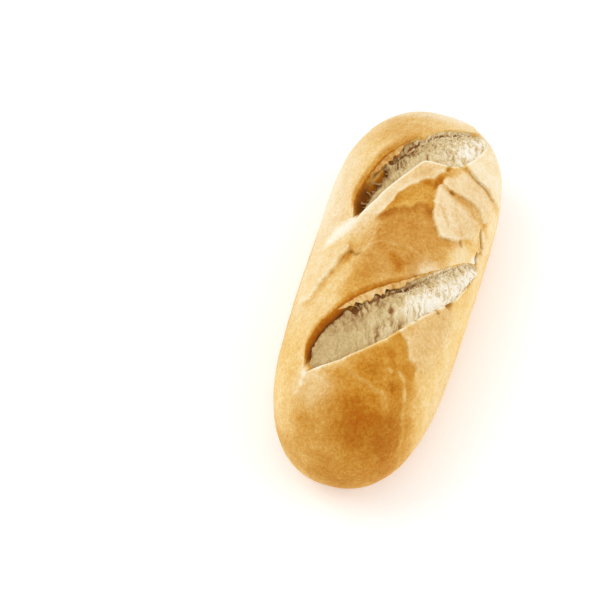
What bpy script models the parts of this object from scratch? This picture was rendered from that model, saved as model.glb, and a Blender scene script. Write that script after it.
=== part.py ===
"""A mini baguette: a short crusty loaf, baked on a tray, with two slanting slashes across its top.

Each slash has opened in the oven. On its far side the crust has lifted into an ear that hangs over a dark
gap, and torn crumb fills the rest, down to the slash's near side. The crust between the slashes has split
into thin plates of skin.

The loaf is one solid. It lies along X, its near end at -X, and it stands on Z = 0. A place on the crust is
given by x and by its bearing: the angle round the loaf, 0 along the ridge, 90 on the right side (-Y) and
-90 on the left side (+Y).
"""

import math

import bmesh
import bpy
import numpy as np

MM = 0.001  # the sizes below are in millimetres

# The loaf
LENGTH = 150.0
WIDTH = 59.0
HEIGHT = 47.0
WAIST = 20.0  # the height of its widest place
SUNK = 7.0  # how far the round underside would reach below the tray, if the tray had not made it flat
HEEL = 2.0  # how softly the flat base turns up into the sides
END_ROUNDNESS = 4.3  # 2 is an ellipse seen from above, more is blunter
FAR_END_FULLER = 0.075
TOP_SQUARENESS = 2.2  # 2 is an ellipse in section
UNDER_SQUARENESS = 2.4
UNEVENNESS = 0.35
BASE_FADE = 6.0  # the height over which the relief of the crust fades towards the flat base

# Round the loaf, one degree of bearing is about this long, so the crust unrolls to x and girth
GIRTH = 0.47

# The slashes: (x, bearing) of their two ends, and how far their far edge (lip) and their near edge (foot)
# stand off the straight line between those ends, towards the far end, at equal steps along it. Across a
# slash its form is a list of (share of the way from lip to foot, height): with an ear that hangs over the
# gap, and past the ear.
SLASHES = {
    "near": {
        "start": (-51.0, -38.0),
        "end": (12.0, 71.0),
        "lip": (0.0, 5.7, 8.1, 8.4, 6.4, 4.3, 3.4, 3.0, 0.0),
        "foot": (0.0, -5.2, -7.5, -8.6, -7.7, -7.0, -6.2, -4.4, 0.0),
        "eared_until": 0.62,
        "eared": (
            (1.00, 0.40), (0.97, -0.45), (0.90, 0.05), (0.79, 0.60), (0.69, 0.75), (0.59, 0.60),
            (0.50, 0.40), (0.42, 0.10), (0.345, -0.40), (0.285, -1.20), (0.235, -2.30), (0.185, -2.60),
            (0.145, -1.50), (0.11, -0.25), (0.085, 0.95), (0.06, 1.85), (0.00, 2.35),
        ),
        "plain": (
            (1.00, 0.40), (0.96, -0.60), (0.88, 0.15), (0.80, 0.80), (0.70, 1.00), (0.60, 0.70),
            (0.50, 0.20), (0.42, -0.30), (0.35, -0.70), (0.29, -0.95), (0.24, -1.10), (0.19, -1.15),
            (0.15, -1.05), (0.11, -0.85), (0.07, -0.50), (0.03, -0.10), (0.00, 0.25),
        ),
    },
    "far": {
        "start": (8.0, -34.0),
        "end": (64.0, 50.0),
        "lip": (0.0, 7.7, 11.4, 13.7, 14.1, 13.0, 9.5, 5.1, 0.0),
        "foot": (0.0, 0.8, 1.8, 3.0, 2.7, -1.8, -3.1, -2.7, 0.0),
        "eared_until": 0.52,
        "eared": (
            (1.00, 0.50), (0.96, -0.10), (0.90, -0.30), (0.82, -0.55), (0.74, -0.90), (0.66, -1.35),
            (0.58, -1.95), (0.50, -2.70), (0.42, -3.50), (0.35, -4.10), (0.29, -4.20), (0.24, -3.20),
            (0.18, -1.80), (0.12, -0.40), (0.08, 0.80), (0.07, 1.60), (0.00, 2.00),
        ),
        "plain": (
            (1.00, 0.50), (0.96, -0.30), (0.89, -0.10), (0.80, 0.20), (0.70, 0.40), (0.60, 0.40),
            (0.50, 0.25), (0.41, 0.10), (0.33, -0.15), (0.26, -0.45), (0.20, -0.85), (0.155, -1.30),
            (0.115, -1.70), (0.08, -1.75), (0.05, -0.90), (0.025, 0.20), (0.00, 0.90),
        ),
    },
}
SLASH_TIP = 1.2  # the width that a slash's tips keep, for the rows of the mesh that pass through them
UNDER_BAND = 9.0  # the same on the loaf's underside
OPENS_OVER = 0.10  # the share of a slash's length over which it opens up from its start
CLOSES_OVER = 0.08
EAR_STARTS_OVER = 0.10
EAR_ENDS_OVER = 0.30
EAR_SWELL = 8.0  # how far behind the lip the crust has risen with it
FOOT_RIM = 2.5

# The skin's plates: each is the crust nearer to this (x, bearing) than to the others, and stands this much
# proud of the loaf
PLATES = (
    (-66.0, 14.0, 0.70), (-60.0, 46.0, 0.40), (-44.0, 20.0, 0.90), (-46.0, 48.0, 0.05),
    (-66.0, -34.0, 0.20), (-30.0, 42.0, 0.80), (-24.0, 62.0, 0.20), (-30.0, -56.0, 0.30),
    (-4.0, -46.0, 0.10), (-12.0, -24.0, 0.60),
    (-5.0, 6.0, 0.30), (8.0, 2.0, 0.95), (5.0, 24.0, 0.50), (24.0, 6.0, 0.25), (6.0, 48.0, 0.30),
    (19.0, 34.0, 1.15), (33.0, 40.0, 0.80), (48.0, 58.0, 1.05), (14.0, 76.0, 0.30), (34.0, -52.0, 0.45),
    (60.0, -28.0, 0.30),
)
PLATE_EDGE = 1.2  # how softly one plate's height passes into the next one's
PLATE_REACH = 84.0  # the bearing past which the skin is whole
PLATE_FADE = 14.0

# The mesh: columns run along the loaf, and rows round it
SLASH_COLUMNS = 38
UNDER_COLUMNS = 30
NEAR_CRUST_ROWS = 16
MIDDLE_CRUST_ROWS = 18
FAR_CRUST_ROWS = 14
TIP_CROWDING = 1.6  # how the rows draw together towards the loaf's tips
SLASH_SHIFT = 6  # how many columns the far slash starts after the near one, so that the columns cross both
NEAR_FAN = (0.0, 0.0)  # how far the columns turn from a slash's two ends to the loaf's tip, in degrees
FAR_FAN = (-60.0, 10.0)

CRUST_COLOUR = (0.72, 0.42, 0.16, 1.0)
CRUST_ROUGHNESS = 0.62


def smooth_step(value):
    value = np.clip(value, 0.0, 1.0)
    return value * value * (3.0 - 2.0 * value)


def smooth_through(values, at):
    """A smooth curve through equally spaced values, read where at is 0 at the first and 1 at the last."""
    padded = np.array([2 * values[0] - values[1], *values, 2 * values[-1] - values[-2]])
    place = np.clip(at, 0.0, 1.0) * (len(values) - 1)
    first = np.minimum(place.astype(int), len(values) - 2)
    t = place - first
    before, low, high, after = (padded[first + step] for step in range(4))
    cubed = 3 * (low - high) + after - before
    squared = 2 * before - 5 * low + 4 * high - after
    return low + 0.5 * t * (high - before + t * (squared + t * cubed))


def rounded_maximum(a, b, softness):
    overlap = np.maximum(softness - np.abs(a - b), 0.0) / softness
    return np.maximum(a, b) + overlap**2 * softness / 4


def loaf_point(x, bearing):
    """The smooth loaf, without slashes: the points of its surface at x and bearing."""
    along = np.clip(x / (LENGTH / 2), -1.0, 1.0)
    size = np.sqrt(np.maximum(1.0 - np.abs(along) ** END_ROUNDNESS, 1e-9))
    angle = np.radians(bearing)
    sideways, upwards = np.sin(angle), np.cos(angle)
    half_width = WIDTH / 2 * size

    def radius(height, squareness):
        across = np.abs(sideways / half_width) ** squareness
        upright = np.abs(upwards / (height * size)) ** squareness
        return (across + upright) ** (-1 / squareness)

    reach = np.where(
        upwards > 0,
        radius(HEIGHT - WAIST, TOP_SQUARENESS),
        radius(WAIST + SUNK, UNDER_SQUARENESS),
    )
    y = -reach * sideways * (1 + FAR_END_FULLER * along)
    z = rounded_maximum(WAIST + reach * upwards, 0.0, HEEL)
    return np.stack([np.broadcast_to(x, y.shape), y, z], axis=-1)


def loaf_normal(x, bearing):
    """Which way the smooth loaf faces at x and bearing."""
    along = np.clip(x, -LENGTH / 2 + 0.05, LENGTH / 2 - 0.05)
    step = 0.02
    down_length = loaf_point(along + step, bearing) - loaf_point(along - step, bearing)
    round_girth = loaf_point(along, bearing + step) - loaf_point(along, bearing - step)
    normal = np.cross(round_girth, down_length)
    normal /= np.linalg.norm(normal, axis=-1, keepdims=True) + 1e-12
    inwards = (normal * (loaf_point(along, bearing) - (0.0, 0.0, WAIST))).sum(-1, keepdims=True) < 0
    return np.where(inwards, -normal, normal)


def slash_edges(slash):
    """A slash's two edges at every column of the mesh, and how open and how eared it is there.

    The lip and the foot are arrays of (x, bearing). The columns run along the slash and then back round the
    loaf's underside to its start.
    """
    start, end = (np.array([x, bearing * GIRTH]) for x, bearing in (slash["start"], slash["end"]))
    length = np.linalg.norm(end - start)
    direction = (end - start) / length
    across = np.array([direction[1], -direction[0]])  # towards the far end
    share = np.arange(SLASH_COLUMNS + 1) / SLASH_COLUMNS
    under = np.arange(1, UNDER_COLUMNS) / UNDER_COLUMNS
    edges = []
    for edge, side in (("lip", 0.5), ("foot", -0.5)):
        offset = smooth_through(slash[edge], share) + side * SLASH_TIP
        on_top = start + np.outer(share * length, direction) + np.outer(offset, across)
        on_top[:, 1] /= GIRTH
        turn = on_top[0, 1] + 360 - on_top[-1, 1]
        back = on_top[0, 0] - on_top[-1, 0]
        x = on_top[-1, 0] + back * smooth_step(under) + side * UNDER_BAND * np.sin(math.pi * under)
        edges.append(np.concatenate([on_top, np.stack([x, on_top[-1, 1] + turn * under], axis=-1)]))
    none = np.zeros(UNDER_COLUMNS - 1)
    opened = smooth_step(share / OPENS_OVER) * smooth_step((1 - share) / CLOSES_OVER)
    past_ear = smooth_step((share - slash["eared_until"]) / EAR_ENDS_OVER + 0.5)
    eared = smooth_step(share / EAR_STARTS_OVER) * (1 - past_ear)
    return *edges, np.concatenate([opened, none]), np.concatenate([eared, none])


def tip_edge(slash, x, fan):
    """The tip of the loaf as an edge, with its columns turned by the fan at each end of the slash."""
    first, last = slash["start"][1] + fan[0], slash["end"][1] + fan[1]
    on_top = first + (last - first) * np.arange(SLASH_COLUMNS + 1) / SLASH_COLUMNS
    under = last + (first + 360 - last) * np.arange(1, UNDER_COLUMNS) / UNDER_COLUMNS
    bearing = np.concatenate([on_top, under])
    return np.stack([np.full(len(bearing), x), bearing], axis=-1)


def shifted(edge, columns):
    """An edge with its columns moved round the loaf."""
    moved = np.roll(edge, columns, axis=0)
    if edge.ndim > 1:
        moved[:columns, 1] -= 360
    return moved


def wrapped(bearing):
    return (bearing + 180) % 360 - 180


def unevenness(x, bearing):
    """The loaf's slow swells and hollows."""
    angle = np.radians(bearing)
    waves = np.sin(x / 11 + 2 * angle) + np.sin(x / 17 - 3 * angle + 1.3) + np.sin(x / 7.3 + angle + 4.1)
    return UNEVENNESS * waves / 2 * smooth_step((110 - np.abs(wrapped(bearing))) / 60)


def plate_height(x, bearing):
    """How proud the skin stands there: by its plate's height, with a short slope to the next plates'."""
    bearing = wrapped(bearing)
    away = np.stack([np.hypot(x - at, (bearing - plate_bearing) * GIRTH) for at, plate_bearing, _ in PLATES])
    lifts = np.array([lift for _, _, lift in PLATES])
    share = np.exp((away.min(axis=0) - away) / PLATE_EDGE)
    mixed = np.tensordot(lifts, share, axes=1) / share.sum(axis=0)
    return mixed * smooth_step((PLATE_REACH - np.abs(bearing)) / PLATE_FADE)


def crust_rows(from_edge, to_edge, shares, lifts):
    """Rows between two edges: at each share of the way, and each with its lift over the smooth loaf."""
    rows = []
    for share, lift in zip(shares, lifts):
        place = from_edge + (to_edge - from_edge) * share
        x, bearing = place[:, 0], place[:, 1]
        rows.append((x, bearing, lift + plate_height(x, bearing)))
    return rows


def slash_rows(slash, lip, foot, opened, eared):
    """The rows across a slash, from foot to lip. Where it is shut, they are evenly spaced."""
    rows = []
    shut_shares = np.linspace(1.0, 0.0, len(slash["eared"]))
    for shut_share, eared_place, plain_place in zip(shut_shares, slash["eared"], slash["plain"]):
        open_share = plain_place[0] + (eared_place[0] - plain_place[0]) * eared
        height = plain_place[1] + (eared_place[1] - plain_place[1]) * eared
        share = shut_share + (open_share - shut_share) * opened
        place = lip + (foot - lip) * share[:, None]
        x, bearing = place[:, 0], place[:, 1]
        skin = 1 - opened * (1 - np.abs(2 * share - 1) ** 6)
        rows.append((x, bearing, height * opened + plate_height(x, bearing) * skin))
    return rows


def span(from_edge, to_edge):
    """The distance over the crust between two edges, at each column."""
    gap = to_edge - from_edge
    return np.hypot(gap[:, 0], gap[:, 1] * GIRTH)


def loaf_rows():
    """Every row of the loaf between its two tips: arrays of x, bearing and lift."""
    near, far = SLASHES["near"], SLASHES["far"]
    near_lip, near_foot, near_opened, near_eared = slash_edges(near)
    far_edges = (*slash_edges(far), tip_edge(far, LENGTH / 2, FAR_FAN))
    far_lip, far_foot, far_opened, far_eared, far_tip = (shifted(edge, SLASH_SHIFT) for edge in far_edges)

    def behind_ear(slash, distance, opened, eared):
        plain_height, ear_height = slash["plain"][-1][1], slash["eared"][-1][1]
        height = plain_height + (ear_height - plain_height) * eared
        return opened * height * np.exp(-((distance / EAR_SWELL) ** 2))

    def before_foot(slash, distance, opened):
        return opened * slash["plain"][0][1] * np.exp(-((distance / FOOT_RIM) ** 2))

    near_shares = (np.arange(1, NEAR_CRUST_ROWS + 1) / (NEAR_CRUST_ROWS + 1)) ** TIP_CROWDING
    near_tip = tip_edge(near, -LENGTH / 2, NEAR_FAN)
    near_span = span(near_tip, near_foot)
    near_lifts = [before_foot(near, (1 - share) * near_span, near_opened) for share in near_shares]

    middle_shares = smooth_step(np.arange(1, MIDDLE_CRUST_ROWS + 1) / (MIDDLE_CRUST_ROWS + 1))
    middle_span = span(near_lip, far_foot)
    middle_lifts = [
        behind_ear(near, share * middle_span, near_opened, near_eared)
        + before_foot(far, (1 - share) * middle_span, far_opened)
        for share in middle_shares
    ]

    far_shares = 1 - (np.arange(FAR_CRUST_ROWS, 0, -1) / (FAR_CRUST_ROWS + 1)) ** TIP_CROWDING
    far_span = span(far_lip, far_tip)
    far_lifts = [behind_ear(far, share * far_span, far_opened, far_eared) for share in far_shares]

    return [
        *crust_rows(near_tip, near_foot, near_shares, near_lifts),
        *slash_rows(near, near_lip, near_foot, near_opened, near_eared),
        *crust_rows(near_lip, far_foot, middle_shares, middle_lifts),
        *slash_rows(far, far_lip, far_foot, far_opened, far_eared),
        *crust_rows(far_lip, far_tip, far_shares, far_lifts),
    ]


def loaf_surface():
    """The points of the loaf's rows, from the near end to the far end: an array of row, column and XYZ."""
    x, bearing, lift = (np.stack(values) for values in zip(*loaf_rows()))
    smooth_loaf = loaf_point(x, bearing)
    within_tips = np.sqrt(np.clip(1 - np.abs(x / (LENGTH / 2)) ** 6, 0, 1))
    above_base = smooth_step(smooth_loaf[..., 2] / BASE_FADE)
    lift = (lift + unevenness(x, bearing)) * within_tips * above_base
    return smooth_loaf + loaf_normal(x, bearing) * lift[..., None]


def make_loaf(collection):
    """The loaf starts as a globe lying on its side, whose parallels are laid on the loaf's rows."""
    surface = loaf_surface()
    rows, columns = surface.shape[:2]
    globe = bmesh.new()
    bmesh.ops.create_uvsphere(globe, u_segments=columns, v_segments=rows + 1, radius=1.0)
    for vertex in globe.verts:
        row = round(math.acos(max(-1.0, min(1.0, vertex.co.z))) / math.pi * (rows + 1)) - 1
        column = round(math.atan2(-vertex.co.y, vertex.co.x) / (2 * math.pi) * columns) % columns
        if row < 0 or row >= rows:
            vertex.co = (math.copysign(LENGTH / 2, row) * MM, 0.0, WAIST * MM)
        else:
            vertex.co = surface[row, column] * MM
    mesh = bpy.data.meshes.new("mini_baguette")
    globe.to_mesh(mesh)
    globe.free()
    mesh.shade_smooth()
    loaf = bpy.data.objects.new("mini_baguette", mesh)
    loaf.data.materials.append(crust_material())
    collection.objects.link(loaf)
    return loaf


def crust_material():
    material = bpy.data.materials.new("crust")
    material.use_nodes = True
    surface = material.node_tree.nodes["Principled BSDF"]
    surface.inputs["Base Color"].default_value = CRUST_COLOUR
    surface.inputs["Roughness"].default_value = CRUST_ROUGHNESS
    surface.inputs["Metallic"].default_value = 0.0
    return material


def main():
    for old in list(bpy.data.objects):
        bpy.data.objects.remove(old, do_unlink=True)
    parts = bpy.data.collections.new("mini_baguette")
    bpy.context.scene.collection.children.link(parts)
    make_loaf(parts)


main()
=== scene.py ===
"""The looks of a mini baguette: its crust, the torn crumb in its two slashes, and the light it is seen in.

A place on the crust is given as in the model of the loaf: by x, in millimetres from the middle of the loaf
towards its far end, and by its bearing, the angle round the loaf, 0 along the ridge, 90 on the right side
and -90 on the left side. Unrolled, a degree of bearing is about GIRTH millimetres.
"""

import math
from itertools import product

import bpy
import numpy as np
from mathutils import Matrix, Vector


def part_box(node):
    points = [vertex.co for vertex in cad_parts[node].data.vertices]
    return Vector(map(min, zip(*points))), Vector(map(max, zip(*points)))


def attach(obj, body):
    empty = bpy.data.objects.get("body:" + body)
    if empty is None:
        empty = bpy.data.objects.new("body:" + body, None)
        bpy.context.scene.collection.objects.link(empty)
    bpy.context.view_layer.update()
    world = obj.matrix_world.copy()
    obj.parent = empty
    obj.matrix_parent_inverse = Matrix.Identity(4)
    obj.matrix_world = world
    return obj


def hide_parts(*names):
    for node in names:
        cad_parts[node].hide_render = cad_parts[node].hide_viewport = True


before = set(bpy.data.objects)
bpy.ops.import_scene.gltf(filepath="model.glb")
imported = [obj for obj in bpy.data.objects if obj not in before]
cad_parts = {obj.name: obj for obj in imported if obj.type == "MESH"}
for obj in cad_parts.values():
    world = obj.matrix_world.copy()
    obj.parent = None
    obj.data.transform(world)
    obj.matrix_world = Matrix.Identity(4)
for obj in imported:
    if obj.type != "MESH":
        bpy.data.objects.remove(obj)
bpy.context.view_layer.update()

LOAF = "mini_baguette"
LENGTH, WIDTH, HEIGHT = 150.0, 59.0, 47.0
MM = (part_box(LOAF)[1].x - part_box(LOAF)[0].x) / LENGTH

# The smooth loaf, as in its model
WAIST = 20.0  # how high up it is widest
SUNK = 7.0  # how far below its base the underside would round off
HEEL = 2.0  # how rounded the rim of the base is
END_ROUNDNESS = 4.3
FAR_END_FULLER = 0.075
TOP_SQUARENESS = 2.2
UNDER_SQUARENESS = 2.4
UNEVENNESS = 0.35
BASE_FADE = 6.0  # how far up from the base the relief grows to its full height
GIRTH = 0.47

# The slashes. A share runs from 0 at a slash's start to 1 at its end, and a place runs across it, from 0 at
# its foot (the near edge) to 1 at its lip (the far edge). A pair of shares or places is where a thing begins
# to change and where it has changed. Heights and distances are in millimetres.
#   start, end: the slash's ends
#   lip, foot: how far its edges stand off the line between its ends, at equal steps along it
#   eared_until: the share at which the ear has half gone
#   face: the places up the ear's face where the gap turns to torn skin, to baked edge and to the skin on top
#   torn_from, torn_until: where the torn skin under the ear begins and ends
#   baked, scorch: how brown the baked edge is, and how much browner the crust behind it is, and how far
#   gap: the place and the width of the painted shade in the gap near the start; GAP_SHADE has those further
#       on
#   foot_crack: how dark the painted shade is in the crack between the foot and the crumb near the slash's end
#   crumb: the crumb's height in the gap, where the gap fills with it, and the place that it reaches
#   pockets, hollow: which part of the noise hollows out the crumb in the gap, and how much painted shade
#       darkens it
#   crack: how strong the crack along the crumb's upper side is, as a groove and as painted shade in it
#   white: how white the crumb is
#   browner: how much less white the crumb's upper side is: partly browner crumb, partly painted shade under
#       the ear
#   whiter, late: how much whiter the crumb turns, and where
#   sheet, sheet_tone: the form of the torn sheet that hangs from the face, and how brown it is
#   strands: the threads in the gap, as (share, slant, girth, how much of the way up to the ear is left)
#   strand_span: their share of the way from lip to foot, and their height, each at the ear and at the crumb
#   strand_tone: how white the threads are
#   eared, plain: the form where there is an ear and where there is none, from foot to lip, as
#       (share of the way from lip to foot, height)
SLASHES = {
    "near": {
        "start": (-51.0, -38.0),
        "end": (12.0, 71.0),
        "lip": (0.0, 5.7, 8.1, 8.4, 6.4, 4.3, 3.4, 3.0, 0.0),
        "foot": (0.0, -5.2, -7.5, -8.6, -7.7, -7.0, -6.2, -3.2, 0.0),
        "eared_until": 0.62,
        "face": ((0.74, 0.79), (0.89, 0.92), (0.95, 1.0)),
        "torn_from": (0.26, 0.36),
        "torn_until": (0.52, 0.70),
        "baked": 0.95,
        "scorch": (0.20, 0.55),
        "gap": (0.80, 0.05),
        "foot_crack": 0.85,
        "crumb": (-0.12, (0.0, 0.01), 0.75),
        "pockets": (-0.25, 0.20),
        "hollow": 0.68,
        "crack": 0.35,
        "white": 0.40,
        "browner": 0.12,
        "whiter": 0.52,
        "late": (0.40, 0.62),
        "sheet": ((0.055, 1.70), (0.08, 1.45), (0.115, 1.15), (0.155, 0.85), (0.20, 0.55), (0.25, 0.25)),
        "sheet_tone": 0.50,
        "strands": ((0.13, 0.010, 0.30, 1.0), (0.205, 0.035, 0.36, 1.0), (0.215, -0.01, 0.24, 0.6),
                    (0.335, 0.02, 0.40, 1.0), (0.46, -0.015, 0.34, 1.0), (0.48, 0.02, 0.26, 0.7)),
        "strand_span": ((0.13, 0.30), (-0.3, -0.9)),
        "strand_tone": 0.30,
        "eared": (
            (1.00, 0.40), (0.97, -0.45), (0.90, 0.05), (0.79, 0.60), (0.69, 0.75), (0.59, 0.60),
            (0.50, 0.40), (0.42, 0.10), (0.345, -0.40), (0.285, -1.20), (0.235, -2.30), (0.185, -2.60),
            (0.145, -1.50), (0.11, -0.25), (0.085, 0.95), (0.06, 1.85), (0.00, 2.35),
        ),
        "plain": (
            (1.00, 0.40), (0.96, -0.60), (0.88, 0.15), (0.80, 0.80), (0.70, 1.00), (0.60, 0.70),
            (0.50, 0.20), (0.42, -0.30), (0.35, -0.70), (0.29, -0.95), (0.24, -1.10), (0.19, -1.15),
            (0.15, -1.05), (0.11, -0.85), (0.07, -0.50), (0.03, -0.10), (0.00, 0.25),
        ),
    },
    "far": {
        "start": (8.0, -34.0),
        "end": (64.0, 50.0),
        "lip": (0.0, 6.2, 10.1, 12.5, 13.4, 12.7, 9.5, 4.4, 0.0),
        "foot": (0.0, 0.3, 0.8, 1.3, 1.8, 2.4, 3.0, 3.4, 3.2, -1.4, -4.6, -4.6, -4.1, -3.5, -2.8, -1.6, 0.0),
        "eared_until": 0.52,
        "face": ((0.72, 0.78), (0.84, 0.88), (0.95, 1.0)),
        "torn_from": (0.23, 0.33),
        "torn_until": (0.40, 0.56),
        "baked": 0.90,
        "scorch": (0.36, 2.0),
        "gap": (0.78, 0.10),
        "foot_crack": 0.0,
        "crumb": (-0.80, (0.26, 0.36), 0.80),
        "pockets": (-0.45, 0.10),
        "hollow": 0.26,
        "crack": 1.0,
        "white": 0.38,
        "browner": 0.05,
        "whiter": 0.42,
        "late": (0.42, 0.80),
        "sheet": ((0.065, 1.30), (0.09, 0.85), (0.125, 0.35), (0.165, -0.10), (0.21, -0.45), (0.255, -0.75)),
        "sheet_tone": 0.60,
        "strands": ((0.088, 0.030, 0.45, 0.7), (0.110, 0.020, 0.60, 1.0), (0.128, 0.030, 0.34, 0.5),
                    (0.168, 0.010, 0.40, 1.0), (0.176, 0.034, 0.66, 0.6), (0.228, 0.036, 0.60, 1.0),
                    (0.240, 0.014, 0.36, 0.8), (0.300, 0.034, 0.50, 0.6), (0.325, 0.020, 0.62, 1.0)),
        "strand_span": ((0.17, 0.43), (-1.2, -3.3)),
        "strand_tone": 0.22,
        "eared": (
            (1.00, 0.50), (0.96, -0.10), (0.90, -0.30), (0.82, -0.55), (0.74, -0.90), (0.66, -1.35),
            (0.58, -1.95), (0.50, -2.70), (0.42, -3.50), (0.35, -4.10), (0.29, -4.20), (0.24, -3.20),
            (0.18, -1.80), (0.12, -0.40), (0.08, 0.80), (0.07, 1.60), (0.00, 2.00),
        ),
        "plain": (
            (1.00, 0.50), (0.96, -0.30), (0.89, -0.10), (0.80, 0.20), (0.70, 0.40), (0.60, 0.40),
            (0.50, 0.25), (0.41, 0.10), (0.33, -0.15), (0.26, -0.45), (0.20, -0.85), (0.155, -1.30),
            (0.115, -1.70), (0.08, -1.75), (0.05, -0.90), (0.025, 0.20), (0.00, 0.90),
        ),
    },
}
OPENS_OVER = 0.07  # the shares over which a slash and its ear come and go
CLOSES_OVER = 0.08
EAR_STARTS_OVER = 0.10
EAR_ENDS_OVER = 0.30
SLASH_TIP = 1.2  # how far apart the edges still are at a slash's very ends
UNDER_BAND = 9.0  # how wide the rows of a slash run round the underside, where it is closed
RAGGED = {"lip": 0.35, "foot": 0.2}  # how far the tears in an edge stray from its line
EAR_SWELL = 8.0  # how far behind the lip the ear lifts the crust
FOOT_RIM = 1.2  # how far from the foot the crust stands up
PALE_RIM = 0.6  # and how far it is paler there
GAP_SHADE = (0.81, 0.03)  # the place and width of the painted shade in the gap, beyond GAP_NARROWS
GAP_NARROWS = (0.24, 0.32)
BAKED_UNTIL = 0.30  # from this share on, the ear's baked edge fades as the ear goes
TORN_TONE = 0.46
PLAIN_LIP_TONE = 0.42
# how strong the painted shade in the gap is where there is an ear, and where there is none
GAP_PAINTED_SHADE = 0.55
PLAIN_PAINTED_SHADE = 0.30

# The mesh of the crust
SLASH_COLUMNS = 176
UNDER_COLUMNS = 58
SLASH_SHIFT = 15  # how many columns the far slash starts after the near one, so that the columns cross both
NEAR_CRUST_ROWS = 118
MIDDLE_CRUST_ROWS = 132
FAR_CRUST_ROWS = 84
SLASH_ROWS = 44
TIP_CROWDING = 1.35  # above 1, the rows lie closer together towards the loaf's tips
LEAVES_EDGE_BY = 5.0  # how far a column runs straight off a slash's edge before it bends to where it goes
NEAR_FAN = (0.0, 0.0)  # how far the columns turn from a slash's two ends to the loaf's tip, in degrees
FAR_FAN = (-60.0, 10.0)

# The crumb
CRUMB_COLUMNS = 300
CRUMB_ROWS = 84
CRUMB_ENDS = (0.004, 0.996)
CRUMB_FOOT = 0.015  # the place at which it starts, under the crust at the foot
PLAIN_REACH = 0.93  # the place that it reaches where there is no ear
EMPTY_REACH = 0.66  # and under the ear where the gap isn't filled
CRUMB_DEPTH = 2.2  # how thick it is
UPPER_SIDE = (0.22, 0.50)  # the places between which its upper side begins
INTO_GAP = (0.40, 0.56)  # the places between which the gap's fill begins
POCKETS_UP = (0.52, 0.62)  # and the pockets in it
POCKETED = (0.26, 0.32)  # from here on, shares along the slash between which something sets in or goes
POCKETS_SOFTER = (0.34, 0.50)
POCKETS_END = (0.60, 0.72)
SHAGGY = (0.18, 0.42)
CRACKED = (0.34, 0.48)
CRACK_SOFTER = (0.80, 0.92)
PUFFED = (0.45, 0.70)
BROWNER = (0.12, 0.30)
BROWNER_ENDS = (0.54, 0.68)
SCRIBBLED = (0.20, 0.40)
SCRIBBLES_SOFTER = (0.70, 0.85)
SHREDDED = (0.46, 0.70)

# The torn sheets, the threads and the shreds
SHEET_COLUMNS = 240
SHEET_ROWS = 14
SHEET_THICKNESS = 0.22
SHEET_ROOT_TONE = 0.86  # how brown a sheet is where it hangs from the ear
STRAND_STEPS = 9
STRAND_SIDES = 8
STRAND_FLATNESS = 0.35  # how thick a thread is through, as a share of its girth
BARE_WHITENESS = 0.72  # how white the crust is where it has no skin
SHREDS_EACH_MM2 = 0.5
SHRED_LENGTH = 0.95
SHRED_THICKNESS = 0.24

# ---------------------------------------------------------------- sums


def smooth_step(value):
    """0 below 0, 1 above 1, and smooth between."""
    value = np.clip(value, 0.0, 1.0)
    return value * value * (3.0 - 2.0 * value)


def rise(value, low, high):
    """0 below low, 1 above high, and smooth between."""
    return smooth_step((value - low) / (high - low))


def mix(low, high, share):
    """From low, where the share is 0, to high, where it is 1."""
    return low + (high - low) * share


def bump(value, centre, reach):
    """1 at the centre, and fading away from it over the reach."""
    return np.exp(-(((value - centre) / reach) ** 2))


def smooth_through(values, at):
    """A smooth curve through equally spaced values, read where at is 0 at the first and 1 at the last."""
    values = np.asarray(values, float)
    padded = np.concatenate([[2 * values[0] - values[1]], values, [2 * values[-1] - values[-2]]])
    place = np.clip(at, 0.0, 1.0) * (len(values) - 1)
    first = np.minimum(place.astype(int), len(values) - 2)
    t = place - first
    before, low, high, after = (padded[first + step] for step in range(4))
    curve = t * (2 * before - 5 * low + 4 * high - after + t * (3 * (low - high) + after - before))
    return low + 0.5 * t * (high - before + curve)


def rounded_maximum(a, b, softness):
    """The greater of two values, rounded where they cross."""
    overlap = np.maximum(softness - np.abs(a - b), 0.0) / softness
    return np.maximum(a, b) + overlap**2 * softness / 4


def wrapped(bearing):
    """A bearing as one from -180 to 180."""
    return (bearing + 180) % 360 - 180


def places(*axes):
    """Places to read noise at, from their coordinates, each a number or an array."""
    return np.stack(np.broadcast_arrays(*axes), axis=-1)


def chance(corner, seed):
    """A repeatable random number from 0 to 1 for each whole-numbered place."""
    number = corner[..., 0] * 73856093 ^ corner[..., 1] * 19349663 ^ corner[..., 2] * 83492791
    number = (number ^ seed * 40503) & 0x7FFFFFFF
    for factor in (73244475, 295559667):
        number = ((number >> 15 ^ number) * factor) & 0x7FFFFFFF
    return (number >> 15 ^ number) % 65536 / 65535.0


def clouds(place, size, seed=1, layers=1):
    """Gradient noise from about -1 to 1 with lumps of a size; each further layer is half the size."""
    total, strength = 0.0, 1.0
    for layer in range(layers):
        spot = place / size * 2**layer + layer * 17.3
        corner = np.floor(spot).astype(np.int64)
        part = spot - corner
        ease = part**3 * (part * (part * 6 - 15) + 10)
        for step in product((0, 1), repeat=3):
            to_corner = part - step
            pull = sum(
                (chance(corner + step, seed + 31 * axis + 7 * layer) * 2 - 1) * to_corner[..., axis]
                for axis in range(3)
            )
            total = total + strength * 1.5 * pull * np.where(step, ease, 1 - ease).prod(axis=-1)
        strength /= 2
    return total


def bubbles(place, size, seed):
    """How far the nearest of many scattered centres is, in their spacing, and that centre's own number."""
    spot = place / size
    corner = np.floor(spot).astype(np.int64)
    nearest = np.full(spot.shape[:-1], 9.0)
    number = np.zeros(spot.shape[:-1])
    for step in product((-1, 0, 1), repeat=3):
        cell = corner + step
        centre = cell + np.stack([chance(cell, seed + axis) for axis in range(3)], axis=-1)
        away = np.linalg.norm(spot - centre, axis=-1)
        closer = away < nearest
        nearest = np.where(closer, away, nearest)
        number = np.where(closer, chance(cell, seed + 5), number)
    return nearest, number


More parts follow.
